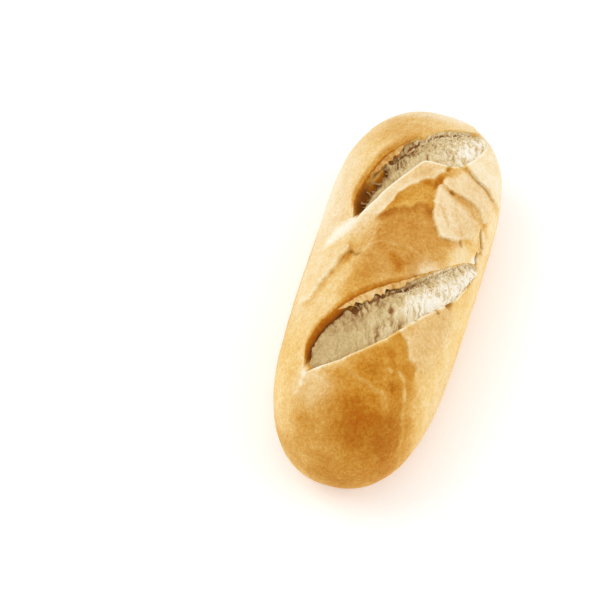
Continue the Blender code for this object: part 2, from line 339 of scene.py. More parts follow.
def rounded_outline(corners, steps=6):
    """A closed outline through its corners, rounded, as points of x and girth."""
    corners = np.array(corners, float) * (1, GIRTH)
    before, after, beyond = (np.roll(corners, turn, axis=0) for turn in (1, -1, -2))
    points = []
    for t in np.arange(steps) / steps:
        steepening = 3 * (corners - after) + beyond - before
        curve = t * (2 * before - 5 * corners + 4 * after - beyond + t * steepening)
        points.append(corners + 0.5 * t * (after - before + curve))
    return np.stack(points, axis=1).reshape(-1, 2)


def along_line(points, steps=6):
    """An open line through its points, rounded, as points of x and girth."""
    points = np.array(points, float) * (1, GIRTH)
    at = np.linspace(0, 1, (len(points) - 1) * steps + 1)
    return np.stack([smooth_through(points[:, axis], at) for axis in range(2)], axis=-1)


def distance_to(line, x, girth):
    """The distance from each place to a line, and how far along it the nearest point is, from 0 to 1."""
    nearest = np.full(x.shape, 1e9)
    along = np.zeros(x.shape)
    count = len(line) - 1
    for index in range(count):
        (ax, ay), (bx, by) = line[index], line[index + 1]
        dx, dy = bx - ax, by - ay
        t = np.clip(((x - ax) * dx + (girth - ay) * dy) / (dx * dx + dy * dy + 1e-9), 0, 1)
        away = np.hypot(x - ax - t * dx, girth - ay - t * dy)
        closer = away < nearest
        nearest = np.where(closer, away, nearest)
        along = np.where(closer, (index + t) / count, along)
    return nearest, along


def inside(outline, x, girth):
    """How far inside a closed outline each place is, in millimetres, and negative outside it."""
    closed = np.concatenate([outline, outline[:1]])
    away, _ = distance_to(closed, x, girth)
    crossings = np.zeros(x.shape, bool)
    for (ax, ay), (bx, by) in zip(closed[:-1], closed[1:]):
        spans = (ay > girth) != (by > girth)
        crossings ^= spans & (x < (bx - ax) * (girth - ay) / (by - ay + 1e-12) + ax)
    return np.where(crossings, away, -away)


# ---------------------------------------------------------------- the form of the loaf


def loaf_point(x, bearing):
    """The smooth loaf, without slashes: the points of its surface at x and bearing."""
    along = np.clip(x / (LENGTH / 2), -1.0, 1.0)
    size = np.sqrt(np.maximum(1.0 - np.abs(along) ** END_ROUNDNESS, 1e-9))
    angle = np.radians(bearing)
    sideways, upwards = np.sin(angle), np.cos(angle)
    half_width = WIDTH / 2 * size

    def radius(height, squareness):
        across, up = np.abs(sideways / half_width), np.abs(upwards / (height * size))
        return (across**squareness + up**squareness) ** (-1 / squareness)

    top, under = radius(HEIGHT - WAIST, TOP_SQUARENESS), radius(WAIST + SUNK, UNDER_SQUARENESS)
    reach = np.where(upwards > 0, top, under)
    y = -reach * sideways * (1 + FAR_END_FULLER * along)
    z = rounded_maximum(WAIST + reach * upwards, 0.0, HEEL)
    return np.stack([np.broadcast_to(x, y.shape), y, z], axis=-1)


def loaf_normal(x, bearing):
    """Which way the smooth loaf faces at x and bearing."""
    along = np.clip(x, -LENGTH / 2 + 0.05, LENGTH / 2 - 0.05)
    step = 0.02
    down_length = loaf_point(along + step, bearing) - loaf_point(along - step, bearing)
    round_girth = loaf_point(along, bearing + step) - loaf_point(along, bearing - step)
    normal = np.cross(round_girth, down_length)
    normal /= np.linalg.norm(normal, axis=-1, keepdims=True) + 1e-12
    inwards = (normal * (loaf_point(along, bearing) - (0.0, 0.0, WAIST))).sum(-1, keepdims=True) < 0
    return np.where(inwards, -normal, normal)


def slash_line(slash):
    """A slash's start, its length, its direction and the direction across it, unrolled."""
    start, end = (np.array([x, bearing * GIRTH]) for x, bearing in (slash["start"], slash["end"]))
    length = np.linalg.norm(end - start)
    direction = (end - start) / length
    return start, length, direction, np.array([direction[1], -direction[0]])


def edge_on_top(slash, edge, share, ragged):
    """A slash's lip or foot at shares of its length, as (x, bearing), with its tears."""
    start, length, direction, across = slash_line(slash)
    side, seed = (0.5, 11) if edge == "lip" else (-0.5, 12)
    tear_place = places(share * length, seed, slash["end"][0])
    tear = ragged * clouds(tear_place, 5.0, seed, layers=3) * opening(share)
    offset = smooth_through(slash[edge], share) + side * SLASH_TIP + tear
    line = start + np.outer(share * length, direction) + np.outer(offset, across)
    line[:, 1] /= GIRTH
    return line


def opening(share):
    """How open a slash is at shares of its length."""
    return smooth_step(share / OPENS_OVER) * smooth_step((1 - share) / CLOSES_OVER)


def ear_there(slash, share):
    """How much of an ear a slash has at shares of its length."""
    past_ear = smooth_step((share - slash["eared_until"]) / EAR_ENDS_OVER + 0.5)
    return smooth_step(share / EAR_STARTS_OVER) * (1 - past_ear)


def slash_edges(slash):
    """A slash's lip and foot at every column, over the top and then back round the underside to its start,
    with how open and how eared it is there, and the direction across it."""
    share = np.arange(SLASH_COLUMNS + 1) / SLASH_COLUMNS
    under = np.arange(1, UNDER_COLUMNS) / UNDER_COLUMNS
    edges = []
    for edge, side in (("lip", 0.5), ("foot", -0.5)):
        on_top = edge_on_top(slash, edge, share, RAGGED[edge])
        turn = on_top[0, 1] + 360 - on_top[-1, 1]
        back = on_top[0, 0] - on_top[-1, 0]
        x = on_top[-1, 0] + back * smooth_step(under) + side * UNDER_BAND * np.sin(math.pi * under)
        edges.append(np.concatenate([on_top, np.stack([x, on_top[-1, 1] + turn * under], axis=-1)]))
    none = np.zeros(UNDER_COLUMNS - 1)
    across = slash_line(slash)[3] + np.zeros((SLASH_COLUMNS + 1, 1))
    below = mix(across[:1], (1.0, 0.0), np.sin(math.pi * under)[:, None])
    return {
        "lip": edges[0], "foot": edges[1], "opened": np.concatenate([opening(share), none]),
        "eared": np.concatenate([ear_there(slash, share), none]), "across": np.concatenate([across, below]),
    }


def tip_edge(slash, x, fan):
    """The tip of the loaf as an edge, with its columns turned by the fan at each end of the slash."""
    first, last = slash["start"][1] + fan[0], slash["end"][1] + fan[1]
    on_top = first + (last - first) * np.arange(SLASH_COLUMNS + 1) / SLASH_COLUMNS
    under = last + (first + 360 - last) * np.arange(1, UNDER_COLUMNS) / UNDER_COLUMNS
    bearing = np.concatenate([on_top, under])
    return np.stack([np.full(len(bearing), x), bearing], axis=-1)


def across_slash(slash, place, eared):
    """The form of a slash at a place across it: the share of the way from lip to foot, and the height."""
    forms = {}
    for form in ("eared", "plain"):
        table = np.array(slash[form])
        forms[form] = [smooth_through(table[:, column], place) for column in range(2)]
    return [mix(plain, ear, eared) for plain, ear in zip(forms["plain"], forms["eared"])]


# ---------------------------------------------------------------- the skin of the loaf

# Plates of skin: an outline of (x, bearing), how proud the plate stands, how brown it is and how much of a
# dry bloom it has, how strongly those cover what is under it, how soft its edge is, and how strong the
# painted shadow is that its crisp edge casts on the crust next to it (shade). Its edge is crisp between the
# two corners that "crisp" numbers, and fades elsewhere.
PLATES = {
    "tan": {
        "outline": ((12, -13), (8, -14), (3, -14.5), (-2, -13), (-5, -4), (-6, 12), (-3, 26), (3, 38),
                    (9, 40), (11, 30), (14, 22), (18, 18), (19, 13), (17, 4), (16, -5), (15, -9)),
        "lift": 0.45, "brown": 0.70, "bloom": 0.40, "cover": 0.9, "soft": 0.8, "shade": 0.0, "crisp": (0, 3),
    },
    "facet": {
        "outline": ((17.6, 18), (19.6, 13.6), (19.8, 9.6), (18.3, 5.8), (17.2, 4.3), (15.5, -4.5), (14.2, -9),
                    (12, -14), (17, -13), (22, -10), (26, 0), (29.8, 8), (29, 14), (26, 17), (22.5, 17.5),
                    (20, 18.5)),
        "lift": 0.60, "brown": 0.60, "bloom": 0.0, "cover": 1.0, "soft": 0.4, "shade": 0.22, "crisp": (0, 7),
    },
    "fold": {
        "outline": ((33.5, 15), (30.5, 12), (29.8, 9.2), (29, 5.8), (26, 0.8), (23, -4.5), (20.5, -7.5),
                    (17.5, -10), (14.8, -12), (12, -15), (8, -19), (3, -26), (4, -36), (10, -33), (17, -27),
                    (20, -22), (24, -16), (30, -8), (36, -2), (40, 5), (42, 13), (40, 19), (36, 19)),
        "lift": 0.60, "brown": 0.34, "bloom": 0.9, "cover": 1.0, "soft": 0.4, "shade": 0.14, "crisp": (0, 9),
    },
    "blister": {
        "outline": ((29, 17), (25.5, 17.3), (22.5, 17.8), (20, 18.8), (17, 20), (15, 21.5), (13, 23),
                    (11, 26.5), (9.8, 29.7), (9.9, 35), (11, 39.7), (14, 46), (18, 54), (23, 56), (27, 51),
                    (29, 42), (29.5, 32), (30, 22)),
        "lift": 1.0, "brown": 0.3, "bloom": 0.95, "cover": 1.0, "soft": 0.35, "shade": 0.14, "crisp": (0, 11),
    },
    "second blister": {
        "outline": ((30.5, 20), (29.2, 23.8), (28.4, 28.2), (28.9, 31.8), (29, 36.4), (29, 40.7), (28.5, 47),
                    (27.3, 53), (26, 58), (30, 62), (37, 64), (40, 58), (41, 48), (42, 38), (41, 30),
                    (37, 24), (34, 20)),
        "lift": 0.8, "brown": 0.31, "bloom": 0.85, "cover": 1.0, "soft": 0.35, "shade": 0.26, "crisp": (0, 8),
    },
    "third blister": {
        "outline": ((42.5, 31), (41.2, 35), (40, 40), (39.2, 42.7), (39.2, 46.3), (39, 51.3), (38.8, 56),
                    (38.4, 60), (38, 65), (39, 72), (46, 82), (56, 80), (64, 66), (62, 55), (56, 46),
                    (49, 37)),
        "lift": 0.90, "brown": 0.14, "bloom": 0.6, "cover": 1.0, "soft": 0.35, "shade": 0.15, "crisp": (0, 9),
    },
    "flank": {
        "outline": ((-4, -29), (-5.5, -31), (-9, -33.5), (-12, -35.5), (-14, -37.5), (-19, -43), (-24, -50),
                    (-20, -66), (-5, -66), (2, -50), (0, -36)),
        "lift": 0.50, "brown": 0.27, "bloom": 0.4, "cover": 0.9, "soft": 0.4, "shade": 0.20, "crisp": (0, 6),
    },
    "wedge": {
        "outline": ((-30.2, 21.5), (-32.6, 31), (-35.2, 34), (-37.6, 37), (-38, 42), (-40, 45), (-46, 48),
                    (-54, 44), (-59, 30), (-58, 5), (-50, -19), (-44, -4), (-38, 8)),
        "lift": 0.25, "brown": 0.74, "bloom": 0.0, "cover": 0.9, "soft": 0.5, "shade": 0.0, "crisp": (0, 5),
    },
    "pink": {
        "outline": ((-39.2, 45.5), (-38.2, 41.5), (-37.5, 37.2), (-35.1, 34.2), (-32.5, 31.2), (-30.2, 23),
                    (-27, 27), (-18, 38), (-12, 48), (-12, 58), (-20, 61), (-30, 57), (-37, 52)),
        "lift": 0.60, "brown": 0.46, "bloom": 0.75, "cover": 0.9, "soft": 0.4, "shade": 0.06, "crisp": (0, 5),
    },
}
CRISP_REACH = (1.5, 5.0)  # how far from its crisp corners a plate's edge starts to fade, and has faded
FADED_EDGE = 5.0  # how soft it is where it has faded
SHADE_REACH = 2.6  # how far from a plate's crisp edge the painted shadow beside it reaches
WANDER = 0.7  # how far the edges of plates stray from their outlines

# Lines on the crust, through points of (x, bearing): their width, how much they stand up, how much they are
# browner and drier than the crust there, and how dark the painted shade in them is, along cracks, dents and
# creases
LINES = {
    "crack at the slash's end": (
        ((0, 60), (1.8, 64), (4.5, 66), (6.5, 67), (9, 68), (10, 66.5), (12, 63.5), (14.5, 63)),
        0.75, -1.6, 0.3, 0, 0.95),
    "its upper branch": (((15.7, 65.5), (17.5, 67)), 0.45, -0.3, 0.2, 0, 0.45),
    "crack beside the blister": (((22.8, 58.5), (20.5, 61), (18, 66)), 0.45, -0.8, 0.25, 0, 0.7),
    "ridge beside that crack": (((23, 61.5), (20.5, 65), (18, 70)), 0.8, 0.3, -0.2, 0.2, 0),
    "notch": (((-12, 49.5), (-10.3, 52.5)), 1.2, -1.2, 0.5, 0, 0.5),
    "mark at the foot": (((-17, 41), (-16.6, 43), (-17, 46)), 0.45, -0.4, 0.25, 0, 0.35),
    "second mark": (((-8.8, 52.5), (-8, 54.5)), 0.5, -0.4, 0.25, 0, 0.4),
    "third mark": (((-24, 29.5), (-24, 31.5)), 0.7, -0.3, 0.2, 0, 0.3),
    "crease under the blister": (((12.2, 44), (11, 46.5)), 0.55, -0.3, 0.25, 0, 0.4),
    "dent at the fold": (((30, 15), (27, 15.2)), 0.6, -0.3, 0.2, -0.2, 0.15),
    "dents under the fold": (((39.5, 21), (36.5, 20)), 0.7, -0.4, 0.32, -0.3, 0.2),
    "crack under the third blister": (
        ((40.5, 35.5), (38.7, 42), (38.5, 50), (38, 57), (37.6, 64)), 0.4, -0.3, 0.12, 0, 0.22),
    "dent beside the second blister": (((28.4, 26), (27.9, 28.5)), 0.6, -0.35, 0.3, 0, 0.35),
    # painted shadow: a browner band on the first blister beneath the second blister's crisp edge
    "painted shadow beside the second blister": (
        ((28, 27), (27.2, 32), (26.6, 37), (25.6, 43), (24.6, 49)), 1.8, -0.1, 0.20, -0.2, 0),
    "crease in the blister": (((21, 22), (19.5, 25), (17.5, 28), (15, 32)), 0.5, -0.3, 0.12, 0, 0),
    "ridge in the blister": (((25, 22), (22.5, 26), (19, 30), (15.5, 35)), 0.8, 0.3, -0.08, 0, 0),
    "second crease in the blister": (((25.5, 31), (21, 35), (17, 40), (14, 43)), 0.8, -0.15, 0.09, 0, 0),
    "torn skin at the slash's end": (((8, 59), (10.5, 61.5), (13, 63.5)), 1.3, 0.1, -0.30, 0.6, 0),
    "pale crest": (((3, -38), (9, -32), (14, -28), (19, -23), (23, -18)), 2.4, 0.1, -0.18, 0.3, 0),
    # painted shade in the hollow along the fold's edge
    "hollow of the fold": (((30, 1), (34, 8), (37, 14)), 2.4, 0.0, 0.12, 0, 0),
    "browner band by the fold": (((35, 22), (39, 26), (41, 32)), 2.2, 0.0, 0.20, -0.3, 0),
    "second dent": (((41, 26), (40.3, 28)), 0.6, -0.4, 0.3, -0.3, 0.3),
    "pinch": (
        ((-19, -43), (-14, -37), (-12, -35), (-9, -33), (-5, -30), (-5, -27), (-6, -23), (-5, -20)),
        0.5, -0.4, 0.16, 0, 0.16),
    "ridge beside the pinch": (
        ((-20, -45), (-15, -39.5), (-12.5, -37.5), (-9, -35.5), (-5, -33)), 1.1, 0.2, -0.06, 0.1, 0),
    "pinch mark": (((-5.5, -28), (-8.5, -27.5)), 1.4, -0.2, 0.24, -0.1, 0),
    "blotch": (((-3.5, 2), (-6.5, 6.5), (-9.5, 9.5)), 1.9, 0.0, 0.17, -0.3, 0),
    "wrinkle": (((-5, -20), (-3, -16), (-0.6, -13), (0.5, -8), (1, 0), (0.5, 6)), 0.6, 0.25, -0.12, 0.1, 0),
    "second wrinkle": (((4, -14.5), (0, -15.5), (-2, -17), (-4, -20)), 0.6, 0.25, -0.14, 0.1, 0),
    "third wrinkle": (((1.5, 9), (0.5, 14), (0, 18), (-1.5, 22)), 0.6, 0.2, -0.12, 0.1, 0),
    # a raised streak, painted paler and drier, along the crease ridge at the far slash's start
    "pale streak at the far start": (((0, -47), (3.5, -44), (6, -39), (8, -36)), 2.2, 0.2, -0.30, 0.6, 0),
    "flour on the near start": (((-57, -42), (-52, -37), (-47, -36)), 1.1, 0.12, -0.22, 0.4, 0),
    # the streaks stand up and are painted paler along their crests: painted highlights on real ridges
    "streak": (((-43.2, 24.5), (-44.2, 28.5)), 0.6, 0.3, -0.32, 0.1, 0),
    "second streak": (((-43, 33), (-44, 37), (-45.5, 40.5)), 0.65, 0.35, -0.38, 0.1, 0),
    "third streak": (((-46.5, 41), (-48, 43.5), (-50, 45.5)), 0.6, 0.3, -0.28, 0.1, 0),
    "pale patch": (((-51.5, 27), (-53, 31), (-55, 34)), 1.7, 0.12, -0.16, 0.2, 0),
    # it stands up and is painted paler along its crest: a painted highlight on a real ridge
    "wrinkle across the near end": (((-49, 0), (-50, 8), (-50.8, 16), (-51.6, 23)), 0.8, 0.45, -0.16, 0.2, 0),
    "baked spot": (((-47.5, 31), (-49, 34)), 1.4, -0.1, 0.16, 0, 0),
    "second baked spot": (((-37.5, 22), (-38.5, 25)), 1.6, 0.0, 0.16, -0.1, 0),
    "baked spot at the fold": (((29, 7), (28.2, 11)), 1.6, 0.0, 0.16, -0.1, 0),
    "edge of the baked end": (((-47.2, 42), (-51, 47), (-55.2, 53), (-61.7, 71)), 0.8, 0.25, -0.14, 0.1, 0),
    "near edge": (((-51, -2), (-52, 8), (-53, 16), (-52, 25)), 0.7, 0.20, -0.10, 0, 0),
    "ridge of the fold": (
        ((8, -35), (16, -25), (23, -17), (30, -11), (38, -5), (41, 3)), 0.7, 0.35, -0.20, 0.5, 0),
}

# Broad tones of the crust: (x, bearing, reach along, reach round in degrees, how much browner, how much
# drier)
# The tones that make the far tip paler, about x = 66 to 68, are a painted highlight along its lit rim.
TONES = (
    (-65, 14, 18, 68, 0.37, -0.1), (-60, 31, 11, 34, 0.19, 0.0), (-50, -8, 6, 16, -0.06, 0.3),
    (0, 2, 26, 28, 0.28, 0.2), (-19, -14, 11, 12, 0.17, -0.2), (-4, 30, 8, 10, -0.12, 0.5),
    (2, 47, 10, 10, -0.14, 0.3), (55, -16, 16, 32, 0.17, 0.1), (68, -10, 7, 24, 0.0, 0.5),
    (8, -60, 42, 24, -0.08, 0.7), (28, -72, 20, 16, -0.10, 0.3), (-46, -58, 20, 20, 0.02, -0.25),
    (0, 68, 60, 28, -0.06, -0.25), (32, 74, 16, 16, -0.06, 0.0), (33, 23, 6, 7, 0.18, 0.0),
    (-72, 90, 12, 40, 0.12, 0.0), (67, -8, 6, 34, -0.08, 0.4), (-14, -80, 26, 16, 0.17, -0.3),
    (20, 65, 6, 8, 0.14, 0.3), (-4, 22, 10, 8, 0.06, 0.5), (66, 25, 14, 45, -0.13, 0.15),
    (66, -42, 7, 16, -0.08, 0.3), (-50, 30, 12, 30, 0.06, 0.0), (30, 76, 24, 14, 0.0, 0.35),
    (-35, 80, 16, 14, 0.0, 0.3), (-55, -30, 8, 18, -0.12, 0.4), (60, -48, 10, 18, -0.04, 0.3),
    (-6, 28, 6, 9, -0.10, 0.3), (-18, 38, 10, 10, 0.05, 0.0), (-59, -14, 8, 16, -0.10, 0.1),
    (-71, 40, 7, 20, -0.10, 0.0), (15, -4, 7, 10, -0.08, 0.0), (-60, -62, 10, 16, -0.20, 0.1),
    (-5, 61, 9, 12, 0.07, -0.35), (-5, 30, 5, 8, -0.08, 0.3), (-18, 58, 8, 8, -0.10, 0.2),
    (33, 19, 5, 6, 0.12, -0.1), (36, 39, 5, 8, 0.10, -0.1), (-48, -8, 7, 12, -0.08, 0.2),
    (-58, 20, 8, 14, 0.08, -0.1), (-70, -35, 8, 24, -0.08, 0.1), (1, 33, 7, 9, 0.10, 0.0),
    (-54, 4, 6, 12, 0.08, -0.1), (-50, 37, 5, 8, 0.05, 0.0), (-29, 27, 5, 7, 0.22, -0.3),
    (35, 15, 5, 6, 0.12, -0.2), (-20, 51, 7, 8, -0.10, 0.4), (10, 43, 5, 7, -0.06, 0.3),
)
TONE_FADE = (0.4, 1.3)  # where a tone starts to fade and has gone, as shares of its reach
BASE_BROWNING = 0.34
BASE_BLOOM = 0.25
UNDERSIDE_BROWNING = 0.62
UNDERSIDE_BLOOM = 0.1
UNDERSIDE_HEIGHTS = (3.0, 16.0)  # the heights between which the underside's tone goes
WRINKLED = (-48.0, 38.0)  # where the skin has its fine wrinkles in full, by x and bearing
WRINKLED_REACH = (12.0, 20.0)


def crispness(plate, x, girth):
    """How crisp a plate's edge is at each place, from 0 to 1."""
    first, last = plate["crisp"]
    away, _ = distance_to(along_line(plate["outline"][first:last + 1]), x, girth)
    return 1 - rise(away, *CRISP_REACH)


def broad_tones(point):
    """How brown and how dry the crust is before its plates and lines are laid on it."""
    browning, bloom = (np.full(point.shape[:-1], base) for base in (BASE_BROWNING, BASE_BLOOM))
    for x, bearing, reach, reach_round, browner, drier in TONES:
        off = point - loaf_point(x, bearing)
        across = np.hypot(off[..., 1], off[..., 2]) / (reach_round * GIRTH)
        there = 1 - rise(np.hypot(off[..., 0] / reach, across), *TONE_FADE)
        browning += browner * there
        bloom += drier * there
    return browning, bloom


def skin(x, bearing, point):
    """The skin's relief, its browning, its dry bloom and its painted shade at each place of the crust."""
    turned = wrapped(bearing)
    girth = turned * GIRTH
    wander, wander_too = (WANDER * clouds(point, 4.0, seed, layers=3) for seed in (21, 22))
    relief, dark = np.zeros(x.shape), np.zeros(x.shape)
    browning, bloom = broad_tones(point)
    patches = clouds(point, 6.0, 33, layers=2)
    for plate in PLATES.values():
        depth = inside(rounded_outline(plate["outline"]), x + wander, girth + wander_too)
        crisp = crispness(plate, x, girth)
        soft = mix(FADED_EDGE, plate["soft"], crisp)
        covered = rise(depth, -soft, soft)
        relief = mix(relief, plate["lift"] * (0.35 + 0.65 * crisp), covered)
        browning = mix(browning, plate["brown"] + 0.05 * patches, plate["cover"] * covered)
        bloom = mix(bloom, plate["bloom"], plate["cover"] * covered)
        # painted shadow on the crust beside a plate's crisp edge, and a paler rim just inside that edge:
        # partly torn skin, partly a painted highlight
        beside = crisp * (1 - covered) * np.exp(-((np.minimum(depth, 0.0) / SHADE_REACH) ** 2))
        torn_and_highlit_rim = 0.07 * bump(depth, 0.6, 0.6) * crisp
        browning += plate["shade"] * beside - torn_and_highlit_rim
    for points, width, height, browner, drier, darkness in LINES.values():
        away, along = distance_to(along_line(points), x + 0.4 * wander, girth + 0.4 * wander_too)
        taper = 0.5 + 0.5 * np.sin(math.pi * np.clip(along, 0.04, 0.96)) ** 0.5
        there = bump(away, 0.0, width * taper)
        relief += height * there
        browning += browner * there
        bloom += drier * there
        # painted shade along cracks, dents and creases
        dark = np.maximum(dark, darkness * there)
    browning += 0.06 * clouds(point, 14.0, 31, layers=2) + 0.05 * clouds(point, 4.0, 32, layers=2)
    creased = np.maximum(0, 1 - 7 * np.abs(clouds(point * (1.0, 0.75, 0.75), 8.0, 43, layers=3)))
    (wrinkled_x, wrinkled_bearing), (reach, reach_round) = WRINKLED, WRINKLED_REACH
    off = np.hypot((x - wrinkled_x) / reach, (turned - wrinkled_bearing) / reach_round)
    wrinkled = 0.35 + 0.65 * (1 - rise(off, 0.5, 1.3))
    relief += 0.12 * creased * wrinkled
    browning -= 0.09 * creased * wrinkled
    beneath = 1 - rise(point[..., 2] + 1.5 * clouds(point, 16.0, 35), *UNDERSIDE_HEIGHTS)
    browning = mix(browning, UNDERSIDE_BROWNING + 0.10 * clouds(point, 9.0, 34, layers=3), beneath)
    bloom = mix(bloom, UNDERSIDE_BLOOM, beneath)
    relief += 0.16 * clouds(point, 9.0, 41, layers=2) + 0.05 * clouds(point, 1.6, 42, layers=2)
    return relief, browning, bloom, dark


def unevenness(x, bearing):
    """The loaf's slow swells and hollows."""
    angle = np.radians(bearing)
    waves = np.sin(x / 11 + 2 * angle) + np.sin(x / 17 - 3 * angle + 1.3) + np.sin(x / 7.3 + angle + 4.1)
    return UNEVENNESS * waves / 2 * smooth_step((110 - np.abs(wrapped(bearing))) / 60)


def within_loaf(x, point):
    """How much of its relief the crust keeps: less towards the tips and none on the flat base."""
    within_tips = np.sqrt(np.clip(1 - np.abs(x / (LENGTH / 2)) ** 6, 0, 1))
    return within_tips * smooth_step(point[..., 2] / BASE_FADE)


def span(from_edge, to_edge):
    """How far apart two edges are at each column, unrolled."""
    gap = to_edge - from_edge
    return np.hypot(gap[:, 0], gap[:, 1] * GIRTH)


def crust_between(from_edge, to_edge, shares, from_slash=None, to_slash=None):
    """The rows of crust between two edges; a slash at either end raises and browns the crust next to it.

    Its columns leave a slash straight across it, and a tip along the loaf.
    """
    unroll = np.array([1, GIRTH])
    start, end = from_edge * unroll, to_edge * unroll
    along_loaf = np.array([[LEAVES_EDGE_BY / 2, 0.0]])
    leaving = from_slash["across"] * LEAVES_EDGE_BY if from_slash else along_loaf
    arriving = to_slash["across"] * LEAVES_EDGE_BY if to_slash else along_loaf
    share = shares[:, None, None]
    early, late = 3 * share * (1 - share) ** 2, 3 * share**2 * (1 - share)
    place = start * (1 - share) ** 3 + (start + leaving) * early + (end - arriving) * late + end * share**3
    line = np.concatenate([start[None], place, end[None]])
    travelled = np.cumsum(np.linalg.norm(np.diff(line, axis=0), axis=-1), axis=0)
    behind, before = travelled[:-1], travelled[-1] - travelled[:-1]
    x, bearing = place[..., 0], place[..., 1] / GIRTH
    blank = np.zeros(x.shape)
    lift, scorch = blank.copy(), blank.copy()
    if from_slash:
        form, opened, eared = from_slash["form"], from_slash["opened"], from_slash["eared"]
        height = mix(form["plain"][-1][1], form["eared"][-1][1], eared)
        lift += opened * height * np.exp(-((behind / EAR_SWELL) ** 2))
        strength, reach = form["scorch"]
        scorch += opened * eared * strength * np.exp(-((behind / reach) ** 2))
    if to_slash:
        form, opened = to_slash["form"], to_slash["opened"]
        lift += opened * form["plain"][0][1] * np.exp(-((before / FOOT_RIM) ** 2))
        paler = 0.36 + 0.16 * clouds(places(x, bearing * GIRTH, 0), 3.0, 73, layers=2)
        scorch -= opened * paler * np.exp(-((before / PALE_RIM) ** 2))
    return {
        "x": x, "bearing": bearing, "lift": lift, "scorch": scorch,
        "tone": blank, "toned": blank, "skin": 1 + blank, "dark": blank,
    }


def crust_across(edges):
    """The rows of crust across a slash, from foot to lip: the floor that the crumb covers, and the ear."""
    slash, lip, foot, opened, eared = (edges[key] for key in ("form", "lip", "foot", "opened", "eared"))
    place = np.linspace(0, 1, SLASH_ROWS)[:, None] + np.zeros(len(lip))
    way, height = across_slash(slash, place, eared)
    way = mix(1 - place, way, opened)
    spot = lip[None] + (foot - lip)[None] * way[..., None]
    # the share, by columns: in the far slash it is ahead by the columns that the slash starts later
    share = np.arange(len(lip))[None] / SLASH_COLUMNS
    frill = clouds(places(80 * share, 4 * place, slash["end"][0]), 2.2, 71, 3)
    under_crumb = rise(place, 0.02, 0.07) * (1 - rise(place, 0.60, 0.66)) * opened
    lift = opened * (height - 0.7 * under_crumb + 0.25 * frill * bump(place, 0.8, 0.1))
    # up the ear's face: the gap, a torn cream band, the baked edge, and the skin on top
    torn, baked, skinned = (rise(place + 0.02 * frill, low, high) for low, high in slash["face"])
    torn = torn * rise(share, *slash["torn_from"]) * (1 - rise(share, *slash["torn_until"]))
    baked_there = np.where(share < BAKED_UNTIL, 1.0, eared**1.5)
    tone = mix(mix(slash["baked"], TORN_TONE, torn), slash["baked"] - 0.03 + 0.08 * frill, baked)
    tone = mix(PLAIN_LIP_TONE + 0.1 * frill, tone, baked_there)
    toned = opened * (1 - skinned) * rise(place, 0.0, 0.06)
    skin_share = mix(rise(place, 0.82, 0.88), 1.0, baked_there)
    skin_share = mix(1.0, skin_share, opened * rise(place, 0.0, 0.05))
    # painted shade: a dark line down in the gap under the ear, darker in its pockets, and in the crack
    # between the foot and the crumb near the slash's end
    pockets = rise(clouds(places(60 * share, 0, slash["end"][0] + 9), 3.0, 72, 2), -0.5, 0.35)
    narrowed = rise(share, *GAP_NARROWS)
    gap, width = (mix(early, late, narrowed) for early, late in zip(slash["gap"], GAP_SHADE))
    darkness = mix(PLAIN_PAINTED_SHADE, GAP_PAINTED_SHADE + 0.40 * pockets, baked_there)
    dark = opened * bump(place, gap, width) * darkness
    cracked = slash["foot_crack"] * rise(share, 0.80, 0.86) * (0.75 + 0.25 * frill)
    dark = np.maximum(dark, opened * cracked * (1 - rise(place, 0.02, 0.06)))
    paler_foot = 0.30 * opened * (1 - rise(place, 0.0, 0.05))
    scorch = slash["scorch"][0] * opened * eared * skinned - paler_foot
    return {
        "x": spot[..., 0], "bearing": spot[..., 1], "lift": lift, "scorch": scorch,
        "tone": tone, "toned": toned, "skin": skin_share, "dark": dark,
    }


def shifted(edge, columns):
    """An edge, or its state, with its columns moved round the loaf."""
    moved = np.roll(edge, columns, axis=0)
    if edge.ndim > 1 and edge[:, 1].max() > 180:
        moved[:columns, 1] -= 360
    return moved


def crust_rows():
    """The rows of the whole crust, from its near tip to its far tip."""
    near = {"form": SLASHES["near"], **slash_edges(SLASHES["near"])}
    far = {key: shifted(edge, SLASH_SHIFT) for key, edge in slash_edges(SLASHES["far"]).items()}
    far["form"] = SLASHES["far"]
    near_shares = (np.arange(1, NEAR_CRUST_ROWS + 1) / (NEAR_CRUST_ROWS + 1)) ** TIP_CROWDING
    middle_shares = np.arange(1, MIDDLE_CRUST_ROWS + 1) / (MIDDLE_CRUST_ROWS + 1)
    far_shares = 1 - (np.arange(FAR_CRUST_ROWS, 0, -1) / (FAR_CRUST_ROWS + 1)) ** TIP_CROWDING
    near_tip = tip_edge(near["form"], -LENGTH / 2, NEAR_FAN)
    far_tip = shifted(tip_edge(far["form"], LENGTH / 2, FAR_FAN), SLASH_SHIFT)
    bands = [
        crust_between(near_tip, near["foot"], near_shares, to_slash=near),
        crust_across(near),
        crust_between(near["lip"], far["foot"], middle_shares, near, far),
        crust_across(far),
        crust_between(far["lip"], far_tip, far_shares, from_slash=far),
    ]
    return {key: np.concatenate([band[key] for band in bands]) for key in bands[0]}


# ---------------------------------------------------------------- meshes


def in_scene(name, data):
    """A new object of some data, in the scene."""
    thing = bpy.data.objects.new(name, data)
    bpy.context.scene.collection.objects.link(thing)
    return thing


def new_piece(name, points, faces, tones, material):
    """A mesh object from points in millimetres and triangles, with a number for each tone at each point."""
    mesh = bpy.data.meshes.new(name)
    mesh.from_pydata(points * MM, [], faces)
    mesh.update()
    first, second, third = (points[faces[:, corner]] for corner in range(3))
    volume = np.einsum("ij,ij->i", first, np.cross(second, third)).sum()
    if volume < 0:
        mesh.flip_normals()
    mesh.shade_smooth()
    for tone, values in tones.items():
        layer = mesh.attributes.new(tone, "FLOAT", "POINT")
        layer.data.foreach_set("value", np.ascontiguousarray(values, np.float32).ravel())
    mesh.materials.append(material)
    return in_scene(name, mesh)


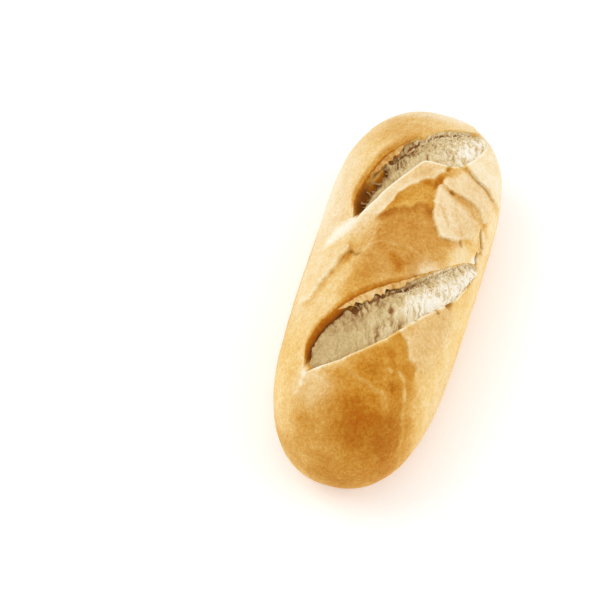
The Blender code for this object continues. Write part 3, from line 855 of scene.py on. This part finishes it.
def halves(quads):
    """Each quad as two triangles."""
    return np.concatenate([quads[:, [0, 1, 2]], quads[:, [0, 2, 3]]])


def grid_quads(rows, columns, first=0, wrap=False):
    """The quads of a grid of points, joined round at its last column if it wraps."""
    across = columns if wrap else columns - 1
    row, column = np.meshgrid(np.arange(rows - 1), np.arange(across), indexing="ij")
    after = (column + 1) % columns
    this, following = row * columns, (row + 1) * columns
    quads = [this + column, this + after, following + after, following + column]
    return np.stack(quads, axis=-1).reshape(-1, 4) + first


def tube_faces(rows, columns, first=0):
    """The triangles over rows of points that run round, closed by two tips that come after the rows."""
    column = np.arange(columns)
    after = (column + 1) % columns
    last = (rows - 1) * columns
    start_cap = np.stack([np.full(columns, rows * columns), after, column], axis=-1)
    end_cap = np.stack([np.full(columns, rows * columns + 1), last + column, last + after], axis=-1)
    return np.concatenate([halves(grid_quads(rows, columns, wrap=True)), start_cap, end_cap]) + first


def closed_loft(name, surface, tones, tips, material):
    """A closed skin over rows of points that run round the loaf, with a tip at each end."""
    points = np.concatenate([surface.reshape(-1, 3), tips])
    faces = tube_faces(*surface.shape[:2])
    whole = {
        tone: np.concatenate([values.ravel(), values[0, :1], values[-1, :1]])
        for tone, values in tones.items()
    }
    return new_piece(name, points, faces, whole, material)


def slab(name, top, bottom, tones, material):
    """A closed slab between two grids of points; only its top has shreds."""
    rows, columns = top.shape[:2]
    count = rows * columns
    points = np.concatenate([top.reshape(-1, 3), bottom.reshape(-1, 3)])
    upper = grid_quads(rows, columns)
    lower = grid_quads(rows, columns, first=count)[:, ::-1]
    index = np.arange(count).reshape(rows, columns)
    rim = np.concatenate([index[0, :-1], index[:-1, -1], index[-1, :0:-1], index[:0:-1, 0]])
    after = np.roll(rim, -1)
    walls = np.stack([after, rim, rim + count, after + count], axis=-1)
    faces = halves(np.concatenate([upper, lower, walls]))
    whole = {
        tone: np.concatenate([values.ravel(), values.ravel() * (tone != "shreds")])
        for tone, values in tones.items()
    }
    return new_piece(name, points, faces, whole, material)


# ---------------------------------------------------------------- crust and crumb


def make_crust(material):
    rows = crust_rows()
    x, bearing = rows["x"], rows["bearing"]
    point = loaf_point(x, bearing)
    relief, browning, bloom, dark = skin(x, bearing, point)
    lift = rows["lift"] + relief * rows["skin"] + unevenness(x, bearing)
    surface = point + loaf_normal(x, bearing) * (lift * within_loaf(x, point))[..., None]
    browning = mix(browning + rows["scorch"], rows["tone"], rows["toned"])
    tips = np.array([[-LENGTH / 2, 0, WAIST], [LENGTH / 2, 0, WAIST]])
    tones = {
        "browning": np.clip(browning, 0, 1.1),
        "bloom": np.clip(bloom * (1 - rows["toned"]), 0, 1),
        "skin": rows["skin"],
        # painted shade in the gap under the ear and along cracks, dents and creases
        "dark": np.maximum(dark * rows["skin"], rows["dark"]),
        "whiteness": np.full(x.shape, BARE_WHITENESS),
    }
    return closed_loft("crust", surface, tones, tips, material)


def across_at(slash, share, across, height, ragged):
    """The points at shares of a slash's length, shares of the way from lip to foot and heights, and how wide
    the slash is at each share of its length."""
    lip, foot = edge_on_top(slash, "lip", share, ragged), edge_on_top(slash, "foot", share, ragged / 2)
    spot = lip[None] + (foot - lip)[None] * across[..., None]
    x, bearing = spot[..., 0], spot[..., 1]
    point = loaf_point(x, bearing)
    lift = (height + unevenness(x, bearing)) * within_loaf(x, point)
    return point + loaf_normal(x, bearing) * lift[..., None], span(lip, foot)


def make_crumb(name, slash, material):
    """The torn crumb of a slash: a slab from under the crust at its foot down into the gap under the ear."""
    length = slash_line(slash)[1]
    share = np.linspace(*CRUMB_ENDS, CRUMB_COLUMNS)
    opened, eared = opening(share), ear_there(slash, share)
    bitten = clouds(places(share * length, 0, 5), 2.2, 58, layers=3)
    level, fills, filled_reach = slash["crumb"]
    filled = rise(share, *fills)
    reach = mix(PLAIN_REACH, mix(EMPTY_REACH, filled_reach, filled) + 0.03 * bitten, eared)
    place = mix(CRUMB_FOOT, reach, np.linspace(0.0, 1.0, CRUMB_ROWS)[:, None])
    along = share[None] * length + 0 * place

    # its form: the slash's own, filled up to a level under the ear, with pockets where the fill has gone
    way, height = across_slash(slash, place, eared)
    way = mix(1 - place, way, opened)
    flat, width = across_at(slash, share, way, 0 * way, 0.0)
    over = way * width
    pockets = rise(clouds(places(along, 2.2 * place, 8), 3.2, 60, layers=2), *slash["pockets"])
    pocketed = rise(share, *POCKETED) * (1 - rise(share, *POCKETS_END))
    pockets = pockets * pocketed * rise(place, *POCKETS_UP) * mix(1.0, 0.45, rise(share, *POCKETS_SOFTER))
    below_gap = 2.0 * (1 - rise(place, *INTO_GAP))
    fill = level + 0.35 * bitten - 6 * (1 - filled) - 1.5 * pockets - below_gap
    height = rounded_maximum(height, mix(-9.0, fill, eared), 0.6)

    # its fibres run across the slash, slanted, and it gets shaggier along the slash
    shaggy = mix(rise(share, *SHAGGY)[None], 1.0, 0.25)
    slanted = along + 0.60 * over + 1.1 * clouds(flat, 2.4, 51, layers=2)
    tear = places(slanted, over * 0.26, 2)
    fibres = 1 - np.abs(clouds(tear, 1.7, 52, layers=3)) * 2.2
    swell = clouds(flat, 5.0, 53, layers=2)
    away, number = bubbles(flat, 2.4, 54)
    pits = np.clip(0.58 - away, 0, 1) * (number > 0.45)
    fluff = clouds(flat, 0.9, 55, layers=2)
    rough = 0.34 * swell + mix(0.12, 0.42, shaggy) * fibres - mix(0.2, 0.8, shaggy) * pits + 0.09 * fluff
    rough = rounded_maximum(rough, -0.15, 0.2)
    edge = rise(place, 0.0, 0.10) * (1 - rise(place, reach - 0.06, reach))
    jag = clouds(places(along, 0, 3), 1.8, 57, layers=3)
    cracked = slash["crack"] * rise(share, *CRACKED) * (1 - 0.7 * rise(share, *CRACK_SOFTER))
    crack = cracked * bump(place, mix(0.79, 0.60, eared) + 0.04 * jag, 0.035 + 0.02 * jag)
    puff = 0.35 * bump(place, 0.14, 0.10) * rise(share, *PUFFED)[None]
    lift = height * opened + opened * (rough * edge + 0.15 + puff - 0.5 * crack) - (1 - opened) * 0.8
    top, _ = across_at(slash, share, way, lift, 0.0)
    bottom, _ = across_at(slash, share, way, height * opened - CRUMB_DEPTH, 0.0)

    # its tones: fibres and their scribbled tears on its upper side. It is painted lighter on its fibres and
    # swells and darker in its pits, as painted highlight and shade that follow its relief, and painted shade
    # darkens its pockets, its far edge under the ear, its crack and, in part, its upper side
    upper = rise(place, *UPPER_SIDE)
    browner = rise(share, *BROWNER) * (1 - rise(share, *BROWNER_ENDS))
    scribbled = rise(share, *SCRIBBLED) * (1 - 0.6 * rise(share, *SCRIBBLES_SOFTER))
    scribbles = rise(-np.abs(clouds(tear, 1.1, 59, layers=2)), -0.22, 0.0) * scribbled[None]
    painted_gap_shade = 0.22 * rise(place, reach - 0.10, reach) + slash["hollow"] * pockets
    whiteness = slash["white"] + 0.28 * fibres * shaggy - 0.28 * pits * shaggy + 0.10 * swell
    whiteness = whiteness - upper * (slash["browner"] * browner[None] + 0.28 * scribbles) - painted_gap_shade * eared
    whiteness = whiteness + slash["whiter"] * (1 - 0.5 * upper) * rise(share, *slash["late"]) - 1.2 * crack
    shreds = edge * opened * rise(share, *SHREDDED)[None] * (0.35 + 0.65 * upper) * (1 - pockets)
    return slab(name, top, bottom, {"whiteness": whiteness, "shreds": shreds}, material)


def make_torn_sheet(name, slash, material):
    """The torn skin under an ear: a thin sheet that hangs from its face over the gap, with a frayed edge."""
    length = slash_line(slash)[1]
    (hangs_from, hangs_fully), (shortens_from, gone) = slash["torn_from"], slash["torn_until"]
    share = np.linspace(hangs_from - 0.04, gone + 0.02, SHEET_COLUMNS)
    row = np.linspace(0.0, 1.0, SHEET_ROWS)[:, None]
    along = share[None] * length + 0 * row
    seed = 80 + int(slash["end"][0])
    torn_place = places(along, 0.8 * row, 0)
    teeth = np.abs(clouds(torn_place, 4.0, seed + 2, layers=3))
    fray = 0.8 * clouds(torn_place, 6.0, seed) + 0.5 - 1.4 * teeth
    there = rise(share, hangs_from - 0.03, hangs_fully) * (1 - rise(share, shortens_from, gone))
    hang = row * np.clip(0.66 + 0.38 * fray, 0.2, 1.0) * there[None]
    form = np.array(slash["sheet"])
    way, height = (smooth_through(form[:, column], hang) for column in range(2))
    ripple = 0.16 * clouds(places(along + 0.4 * row, 1.5 * row, 0), 1.3, seed + 1, 2)
    top, width = across_at(slash, share, way, height + ripple + 0.05, RAGGED["lip"])
    thick = SHEET_THICKNESS * (1 - 0.6 * row)
    under = height + ripple - 0.05 - thick
    bottom, _ = across_at(slash, share, way - thick / width, under, RAGGED["lip"])
    browning = mix(SHEET_ROOT_TONE, slash["sheet_tone"], rise(row + 0.15 * fray, 0.05, 0.28))
    browning = browning + 0.20 * bump(row, 1.0, 0.08) + 0.10 * ripple
    browning = browning + 0.24 * clouds(torn_place, 1.4, seed + 3, layers=2)
    tones = {"browning": browning, "bloom": np.full(along.shape, 0.7), "skin": np.ones(along.shape)}
    return slab(name, top, bottom, tones, material)


def make_strands(name, slash, material):
    """Threads of crumb left in the gap, from the crumb up to the ear's face or, torn off, part of the way."""
    points, faces, count = [], [], 0
    steps, sides = STRAND_STEPS, STRAND_SIDES
    t = np.linspace(0, 1, steps)
    turn = np.arange(sides) / sides * 2 * math.pi
    for share, slant, girth, reach in slash["strands"]:
        down = mix(1 - reach, 1.0, t)
        way, height = (mix(at_ear, at_crumb, down) for at_ear, at_crumb in slash["strand_span"])
        height = height - 0.4 * np.sin(math.pi * down)
        bends = 0.003 * np.sin(t * 5 + 40 * share)
        line = np.stack([
            across_at(slash, np.array([at]), np.array([[over]]), np.array([[up]]), 0.0)[0][0, 0]
            for at, over, up in zip(share + slant * down + bends, way, height)
        ])
        forward = np.gradient(line, axis=0)
        forward /= np.linalg.norm(forward, axis=-1, keepdims=True)
        side = np.cross(forward, (0.0, 0.0, 1.0))
        side /= np.linalg.norm(side, axis=-1, keepdims=True)
        lift = np.cross(side, forward)
        radius = girth * (0.60 + 0.45 * np.abs(2 * t - 1) ** 2 + 0.15 * np.sin(t * 11 + 60 * share))
        radius = radius * mix(rise(t, -0.2, 0.5), 1.0, rise(reach, 0.8, 1.0))
        ring = line[:, None] + np.cos(turn)[None, :, None] * side[:, None] * radius[:, None, None]
        ring = ring + STRAND_FLATNESS * girth * np.sin(turn)[None, :, None] * lift[:, None]
        points.append(np.concatenate([ring.reshape(-1, 3), line[:1], line[-1:]]))
        faces.append(tube_faces(steps, sides, count))
        count += len(points[-1])
    points = np.concatenate(points)
    tones = {"whiteness": np.full(len(points), slash["strand_tone"]), "shreds": np.zeros(len(points))}
    return new_piece(name, points, np.concatenate(faces), tones, material)


def shred_nodes():
    """Shreds of crumb: bent, tapered slivers that stand on a surface where its shreds attribute says."""
    tree = bpy.data.node_groups.new("Shreds of crumb", "GeometryNodeTree")
    tree.interface.new_socket("Surface", in_out="INPUT", socket_type="NodeSocketGeometry")
    for name, kind, default in (
        ("Density", "Float", 1.0), ("Length", "Float", 1.0), ("Thickness", "Float", 0.1), ("Seed", "Int", 1),
    ):
        socket = tree.interface.new_socket(name, in_out="INPUT", socket_type=f"NodeSocket{kind}")
        socket.default_value = default
    tree.interface.new_socket("Material", in_out="INPUT", socket_type="NodeSocketMaterial")
    tree.interface.new_socket("Shreds", in_out="OUTPUT", socket_type="NodeSocketGeometry")
    inputs, outputs = add(tree, "NodeGroupInput").outputs, add(tree, "NodeGroupOutput")

    # where they stand
    scatter = add(tree, "GeometryNodeDistributePointsOnFaces")
    link(tree, inputs["Surface"], scatter.inputs["Mesh"])
    wanted = add(tree, "GeometryNodeInputNamedAttribute", {"data_type": "FLOAT"}, Name="shreds")
    density = sum_node(tree, "MULTIPLY", wanted.outputs["Attribute"], inputs["Density"])
    link(tree, density, scatter.inputs["Density"])
    link(tree, inputs["Seed"], scatter.inputs["Seed"])

    # one sliver, of length 1: it comes out of the crumb, bends over and thins
    bend = add(tree, "GeometryNodeCurveQuadraticBezier", Resolution=4,
               Start=(0, 0, -0.25), Middle=(0.1, 0, 0.45), End=(0.75, 0, 0.5))
    taper = add(tree, "GeometryNodeSplineParameter")
    slim = sum_node(tree, "MULTIPLY_ADD", taper.outputs["Factor"], -0.8, 1.0)
    radius = add(tree, "GeometryNodeSetCurveRadius")
    link(tree, bend.outputs["Curve"], radius.inputs["Curve"])
    link(tree, slim, radius.inputs["Radius"])
    ring = add(tree, "GeometryNodeCurvePrimitiveCircle", {"mode": "RADIUS"}, Resolution=5)
    proportion = sum_node(tree, "DIVIDE", inputs["Thickness"], inputs["Length"])
    link(tree, proportion, ring.inputs["Radius"])
    sliver = add(tree, "GeometryNodeCurveToMesh", Fill_Caps=True)
    link(tree, radius.outputs["Curve"], sliver.inputs["Curve"])
    link(tree, ring.outputs["Curve"], sliver.inputs["Profile Curve"])

    # each turned and sized by chance
    turned = add(tree, "FunctionNodeRotateRotation", {"rotation_space": "LOCAL"})
    link(tree, scatter.outputs["Rotation"], turned.inputs["Rotation"])
    spin = add(tree, "FunctionNodeRandomValue", {"data_type": "FLOAT_VECTOR"},
               Min=(-0.5, -0.5, -3.14), Max=(0.5, 0.5, 3.14))
    link(tree, inputs["Seed"], spin.inputs["Seed"])
    euler = add(tree, "FunctionNodeEulerToRotation")
    link(tree, spin.outputs["Value"], euler.inputs["Euler"])
    link(tree, euler.outputs["Rotation"], turned.inputs["Rotate By"])
    grown = add(tree, "FunctionNodeRandomValue", {"data_type": "FLOAT"}, Min=0.5, Max=1.2)
    link(tree, inputs["Seed"], grown.inputs["Seed"])
    size = sum_node(tree, "MULTIPLY", inputs["Length"], grown.outputs[1])
    placed = add(tree, "GeometryNodeInstanceOnPoints")
    link(tree, scatter.outputs["Points"], placed.inputs["Points"])
    link(tree, sliver.outputs["Mesh"], placed.inputs["Instance"])
    link(tree, turned.outputs["Rotation"], placed.inputs["Rotation"])
    link(tree, size, placed.inputs["Scale"])

    real = add(tree, "GeometryNodeRealizeInstances")
    link(tree, placed.outputs["Instances"], real.inputs["Geometry"])
    smooth = add(tree, "GeometryNodeSetShadeSmooth")
    link(tree, real.outputs["Geometry"], smooth.inputs["Geometry"])
    dressed = add(tree, "GeometryNodeSetMaterial")
    link(tree, smooth.outputs["Geometry"], dressed.inputs["Geometry"])
    link(tree, inputs["Material"], dressed.inputs["Material"])
    link(tree, dressed.outputs["Geometry"], outputs.inputs["Shreds"])
    return tree


def grow(name, surface, tree, settings):
    """What a node tree grows on a surface, as an object of its own."""
    modifier = surface.modifiers.new(name, "NODES")
    modifier.node_group = tree
    for item in tree.interface.items_tree:
        if item.item_type == "SOCKET" and item.in_out == "INPUT" and item.name in settings:
            modifier[item.identifier] = settings[item.name]
    bpy.context.view_layer.update()
    evaluated = surface.evaluated_get(bpy.context.evaluated_depsgraph_get())
    mesh = bpy.data.meshes.new_from_object(evaluated)
    surface.modifiers.remove(modifier)
    mesh.name = name
    return in_scene(name, mesh)


# ---------------------------------------------------------------- materials


def add(tree, kind, settings=None, **values):
    """A new node, with its settings, and values for the inputs of those names."""
    node = tree.nodes.new(kind)
    for name, value in (settings or {}).items():
        setattr(node, name, value)
    for name, value in values.items():
        node.inputs[name.replace("_", " ")].default_value = value
    return node


def link(tree, output, target):
    tree.links.new(output, target)


def sum_node(tree, operation, first, second, third=None):
    """A Math node; each of its inputs is a socket or a number."""
    node = add(tree, "ShaderNodeMath", {"operation": operation})
    for index, value in enumerate((first, second, third)):
        if isinstance(value, bpy.types.NodeSocket):
            link(tree, value, node.inputs[index])
        elif value is not None:
            node.inputs[index].default_value = value
    return node.outputs[0]


def spread(tree, shade, low, high):
    """A shade from 0 to 1, spread from low to high."""
    return sum_node(tree, "MULTIPLY_ADD", shade, high - low, low)


def linear(*colour):
    """A colour seen as these 0 to 255 values of red, green and blue, as the light it sends."""
    parts = [value / 255 for value in colour]
    light = [part / 12.92 if part <= 0.04045 else ((part + 0.055) / 1.055) ** 2.4 for part in parts]
    return (*light, 1.0)


def ramp(tree, factor, stops):
    """A colour from stops of (position, colour)."""
    node = add(tree, "ShaderNodeValToRGB")
    elements = node.color_ramp.elements
    while len(elements) < len(stops):
        elements.new(0.5)
    for element, (position, colour) in zip(elements, stops):
        element.position = position
        element.color = linear(*colour)
    link(tree, factor, node.inputs["Fac"])
    return node.outputs["Color"]


def mixed(tree, factor, first, second):
    """The first colour turned to the second by a factor; each is a socket or a colour."""
    node = add(tree, "ShaderNodeMix", {"data_type": "RGBA"})
    for socket, value in ((node.inputs["Factor"], factor), (node.inputs[6], first), (node.inputs[7], second)):
        if isinstance(value, bpy.types.NodeSocket):
            link(tree, value, socket)
        else:
            socket.default_value = value
    return node.outputs[2]


def grain_group():
    """Grain of one size: the shade of its lumps, from 0 to 1, and the distance from its pores."""
    tree = bpy.data.node_groups.new("Baked grain", "ShaderNodeTree")
    for name, default in (("Size", 0.001), ("Roughness", 0.6)):
        socket = tree.interface.new_socket(name, in_out="INPUT", socket_type="NodeSocketFloat")
        socket.default_value = default
    tree.interface.new_socket("Shade", in_out="OUTPUT", socket_type="NodeSocketFloat")
    tree.interface.new_socket("Pores", in_out="OUTPUT", socket_type="NodeSocketFloat")
    inputs = add(tree, "NodeGroupInput")
    outputs = add(tree, "NodeGroupOutput")
    place = add(tree, "ShaderNodeTexCoord")
    scale = sum_node(tree, "DIVIDE", 1.0, inputs.outputs["Size"])
    lumps = add(tree, "ShaderNodeTexNoise", Detail=4.0)
    pores = add(tree, "ShaderNodeTexVoronoi", {"feature": "F1"}, Randomness=1.0)
    for texture in (lumps, pores):
        link(tree, place.outputs["Object"], texture.inputs["Vector"])
        link(tree, scale, texture.inputs["Scale"])
    link(tree, inputs.outputs["Roughness"], lumps.inputs["Roughness"])
    link(tree, lumps.outputs["Fac"], outputs.inputs["Shade"])
    link(tree, pores.outputs["Distance"], outputs.inputs["Pores"])
    return tree


def grain(tree, group, size, roughness=0.6):
    """The shade and the pores of grain of a size in millimetres."""
    node = add(tree, "ShaderNodeGroup", {"node_tree": group}, Size=size * MM, Roughness=roughness)
    return node.outputs["Shade"], node.outputs["Pores"]


# The crust's colours as it browns, plain and with its dry bloom, and the crumb's as it gets whiter
CRUST_COLOURS = (
    (0.00, (253, 240, 212)), (0.15, (247, 223, 174)), (0.30, (241, 206, 136)), (0.45, (229, 182, 98)),
    (0.60, (213, 155, 62)), (0.75, (198, 131, 36)), (0.87, (182, 110, 20)), (1.00, (178, 92, 14)),
)
BLOOM_COLOURS = (
    (0.00, (253, 243, 222)), (0.20, (245, 224, 184)), (0.40, (232, 198, 142)), (0.60, (214, 167, 100)),
    (0.80, (192, 133, 60)), (1.00, (160, 98, 30)),
)
CRUMB_COLOURS = (
    (0.00, (142, 94, 48)), (0.25, (182, 147, 98)), (0.50, (213, 187, 132)), (0.75, (235, 216, 176)),
    (1.00, (252, 244, 226)),
)
# the colour of the painted shade in the gap under the ear and along cracks, dents and creases
PAINTED_SHADE_COLOUR = (118, 66, 24)
CRUST_GRAIN = 1.1  # sizes of grain, in millimetres
CRUST_LUMPS = 5.0
CRUST_DUST = 0.45
CRUMB_GRAIN = 0.8
SHRED_GRAIN = 2.0
CRUST_SHEEN = 0.06
CRUMB_SHEEN = 0.1


def new_material(name):
    """A material, its node tree and its Principled BSDF."""
    material = bpy.data.materials.new(name)
    material.use_nodes = True
    tree = material.node_tree
    return material, tree, tree.nodes["Principled BSDF"]


def attribute(tree, name):
    return add(tree, "ShaderNodeAttribute", {"attribute_name": name}).outputs["Fac"]


def bumped(tree, surface, height, strength, distance):
    """Gives a surface relief of a height, over a distance in millimetres."""
    relief = add(tree, "ShaderNodeBump", Strength=strength, Distance=distance * MM)
    link(tree, height, relief.inputs["Height"])
    link(tree, relief.outputs["Normal"], surface.inputs["Normal"])


def crust_material(group):
    material, tree, surface = new_material("baked crust")
    fine_shade, fine_pores = grain(tree, group, CRUST_GRAIN)
    coarse_shade, _ = grain(tree, group, CRUST_LUMPS, 0.7)
    dust_shade, _ = grain(tree, group, CRUST_DUST)
    mottle = spread(tree, fine_shade, -0.23, 0.23)
    for shade, reach in ((coarse_shade, 0.1), (dust_shade, 0.2)):
        mottle = sum_node(tree, "ADD", mottle, spread(tree, shade, -reach, reach))
    toasted = sum_node(tree, "ADD", attribute(tree, "browning"), mottle)
    golden, dry = ramp(tree, toasted, CRUST_COLOURS), ramp(tree, toasted, BLOOM_COLOURS)
    crust_colour = mixed(tree, attribute(tree, "bloom"), golden, dry)
    torn = sum_node(tree, "ADD", attribute(tree, "whiteness"), spread(tree, fine_shade, -0.25, 0.25))
    colour = mixed(tree, attribute(tree, "skin"), ramp(tree, torn, CRUMB_COLOURS), crust_colour)
    # painted shade in the gap under the ear and along cracks, dents and creases
    colour = mixed(tree, attribute(tree, "dark"), colour, linear(*PAINTED_SHADE_COLOUR))
    link(tree, colour, surface.inputs["Base Color"])
    link(tree, spread(tree, fine_shade, 0.45, 0.75), surface.inputs["Roughness"])
    height = sum_node(tree, "ADD", fine_shade, sum_node(tree, "MULTIPLY", fine_pores, 0.4))
    bumped(tree, surface, height, 0.5, 0.25)
    surface.inputs["Specular IOR Level"].default_value = CRUST_SHEEN
    return material


def crumb_material(group):
    material, tree, surface = new_material("torn crumb")
    shade, pores = grain(tree, group, CRUMB_GRAIN)
    tone = sum_node(tree, "ADD", attribute(tree, "whiteness"), spread(tree, shade, -0.25, 0.25))
    link(tree, ramp(tree, tone, CRUMB_COLOURS), surface.inputs["Base Color"])
    surface.inputs["Roughness"].default_value = 0.85
    bumped(tree, surface, sum_node(tree, "ADD", shade, pores), 0.7, 0.3)
    surface.inputs["Specular IOR Level"].default_value = CRUMB_SHEEN
    return material


def shred_material(group):
    material, tree, surface = new_material("crumb shreds")
    shade, _ = grain(tree, group, SHRED_GRAIN)
    link(tree, ramp(tree, spread(tree, shade, 0.42, 1.02), CRUMB_COLOURS), surface.inputs["Base Color"])
    link(tree, spread(tree, shade, 0.7, 0.9), surface.inputs["Roughness"])
    surface.inputs["Specular IOR Level"].default_value = CRUMB_SHEEN
    return material


# ---------------------------------------------------------------- the studio

# The camera looks down on the loaf from beyond its near end, as the photograph does
LENS = 85.0
SENSOR_WIDTH = 36.0
NEAREST_SEEN = 0.01
CAMERA = Vector((-260.76, -49.57, 432.73)) * MM
CAMERA_ELEVATION = 57.84
CAMERA_TURN = 17.36

# The white floor and the soft light, in metres and watts
FLOOR_REACH = 3.0
FLOOR_DROP = 0.0002  # how far it lies below the loaf's base, so that the two don't share a plane
FLOOR_COLOUR = (0.97, 0.97, 0.965, 1.0)
FLOOR_GLOW = 0.16  # it gives off a little light of its own, so that the loaf's shadow on it stays faint
WHITE = (1.0, 1.0, 1.0, 1.0)
SKY_STRENGTH = 0.80
LIGHTS = {  # each with its place, its size and its power
    "key light": ((-0.05, 0.70, 0.90), 0.8, 3.2),
    "side light": ((0.10, -0.90, 0.60), 0.9, 2.2),
}


def make_camera():
    down, turn = math.radians(CAMERA_ELEVATION), math.radians(CAMERA_TURN)
    back = Vector((-math.cos(down) * math.cos(turn), -math.cos(down) * math.sin(turn), math.sin(down)))
    right = (-back).cross(Vector((0, 0, 1))).normalized()
    up = right.cross(-back)
    camera = in_scene("camera", bpy.data.cameras.new("camera"))
    camera.data.lens = LENS
    camera.data.sensor_width = SENSOR_WIDTH
    camera.data.clip_start = NEAREST_SEEN
    camera.matrix_world = Matrix.Translation(CAMERA) @ Matrix((right, up, back)).transposed().to_4x4()
    bpy.context.scene.camera = camera


def make_floor():
    mesh = bpy.data.meshes.new("floor")
    corners = [(x * FLOOR_REACH, y * FLOOR_REACH, 0) for x, y in ((-1, -1), (1, -1), (1, 1), (-1, 1))]
    mesh.from_pydata(corners, [], [(0, 1, 2, 3)])
    material, _, surface = new_material("studio floor")
    surface.inputs["Base Color"].default_value = FLOOR_COLOUR
    surface.inputs["Roughness"].default_value = 0.9
    surface.inputs["Emission Color"].default_value = WHITE
    surface.inputs["Emission Strength"].default_value = FLOOR_GLOW
    mesh.materials.append(material)
    floor = in_scene("floor", mesh)
    floor.location.z = -FLOOR_DROP


def soft_light(name, place, size, power):
    """A round lamp at a place, turned to the loaf."""
    light = bpy.data.lights.new(name, "AREA")
    light.shape = "DISK"
    light.size = size
    light.energy = power
    lamp = in_scene(name, light)
    place = Vector(place)
    lamp.matrix_world = Matrix.Translation(place) @ place.to_track_quat("Z", "Y").to_matrix().to_4x4()


def light_studio():
    scene = bpy.context.scene
    scene.view_settings.view_transform = "Standard"
    world = bpy.data.worlds.new("studio")
    world.use_nodes = True
    background = world.node_tree.nodes["Background"]
    background.inputs["Color"].default_value = WHITE
    background.inputs["Strength"].default_value = SKY_STRENGTH
    scene.world = world
    for name, (place, size, power) in LIGHTS.items():
        soft_light(name, place, size, power)


def main():
    group = grain_group()
    make_camera()
    make_floor()
    light_studio()
    baked, crumb, shred = crust_material(group), crumb_material(group), shred_material(group)
    shreds = shred_nodes()
    crust = make_crust(baked)
    pieces = {crust: "crust"}
    for number, (side, slash) in enumerate(SLASHES.items()):
        torn = make_crumb(f"crumb_{side}", slash, crumb)
        settings = {
            "Density": SHREDS_EACH_MM2 / MM**2,
            "Length": SHRED_LENGTH * MM,
            "Thickness": SHRED_THICKNESS * MM,
            "Seed": number,
            "Material": shred,
        }
        pieces[grow(f"shreds_{side}", torn, shreds, settings)] = "crumb"
        pieces[torn] = "crumb"
        pieces[make_torn_sheet(f"torn_sheet_{side}", slash, baked)] = "crust"
        pieces[make_strands(f"strands_{side}", slash, crumb)] = "crumb"
    for piece, slot in pieces.items():
        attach(piece, "root")
    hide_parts(LOAF)


main()
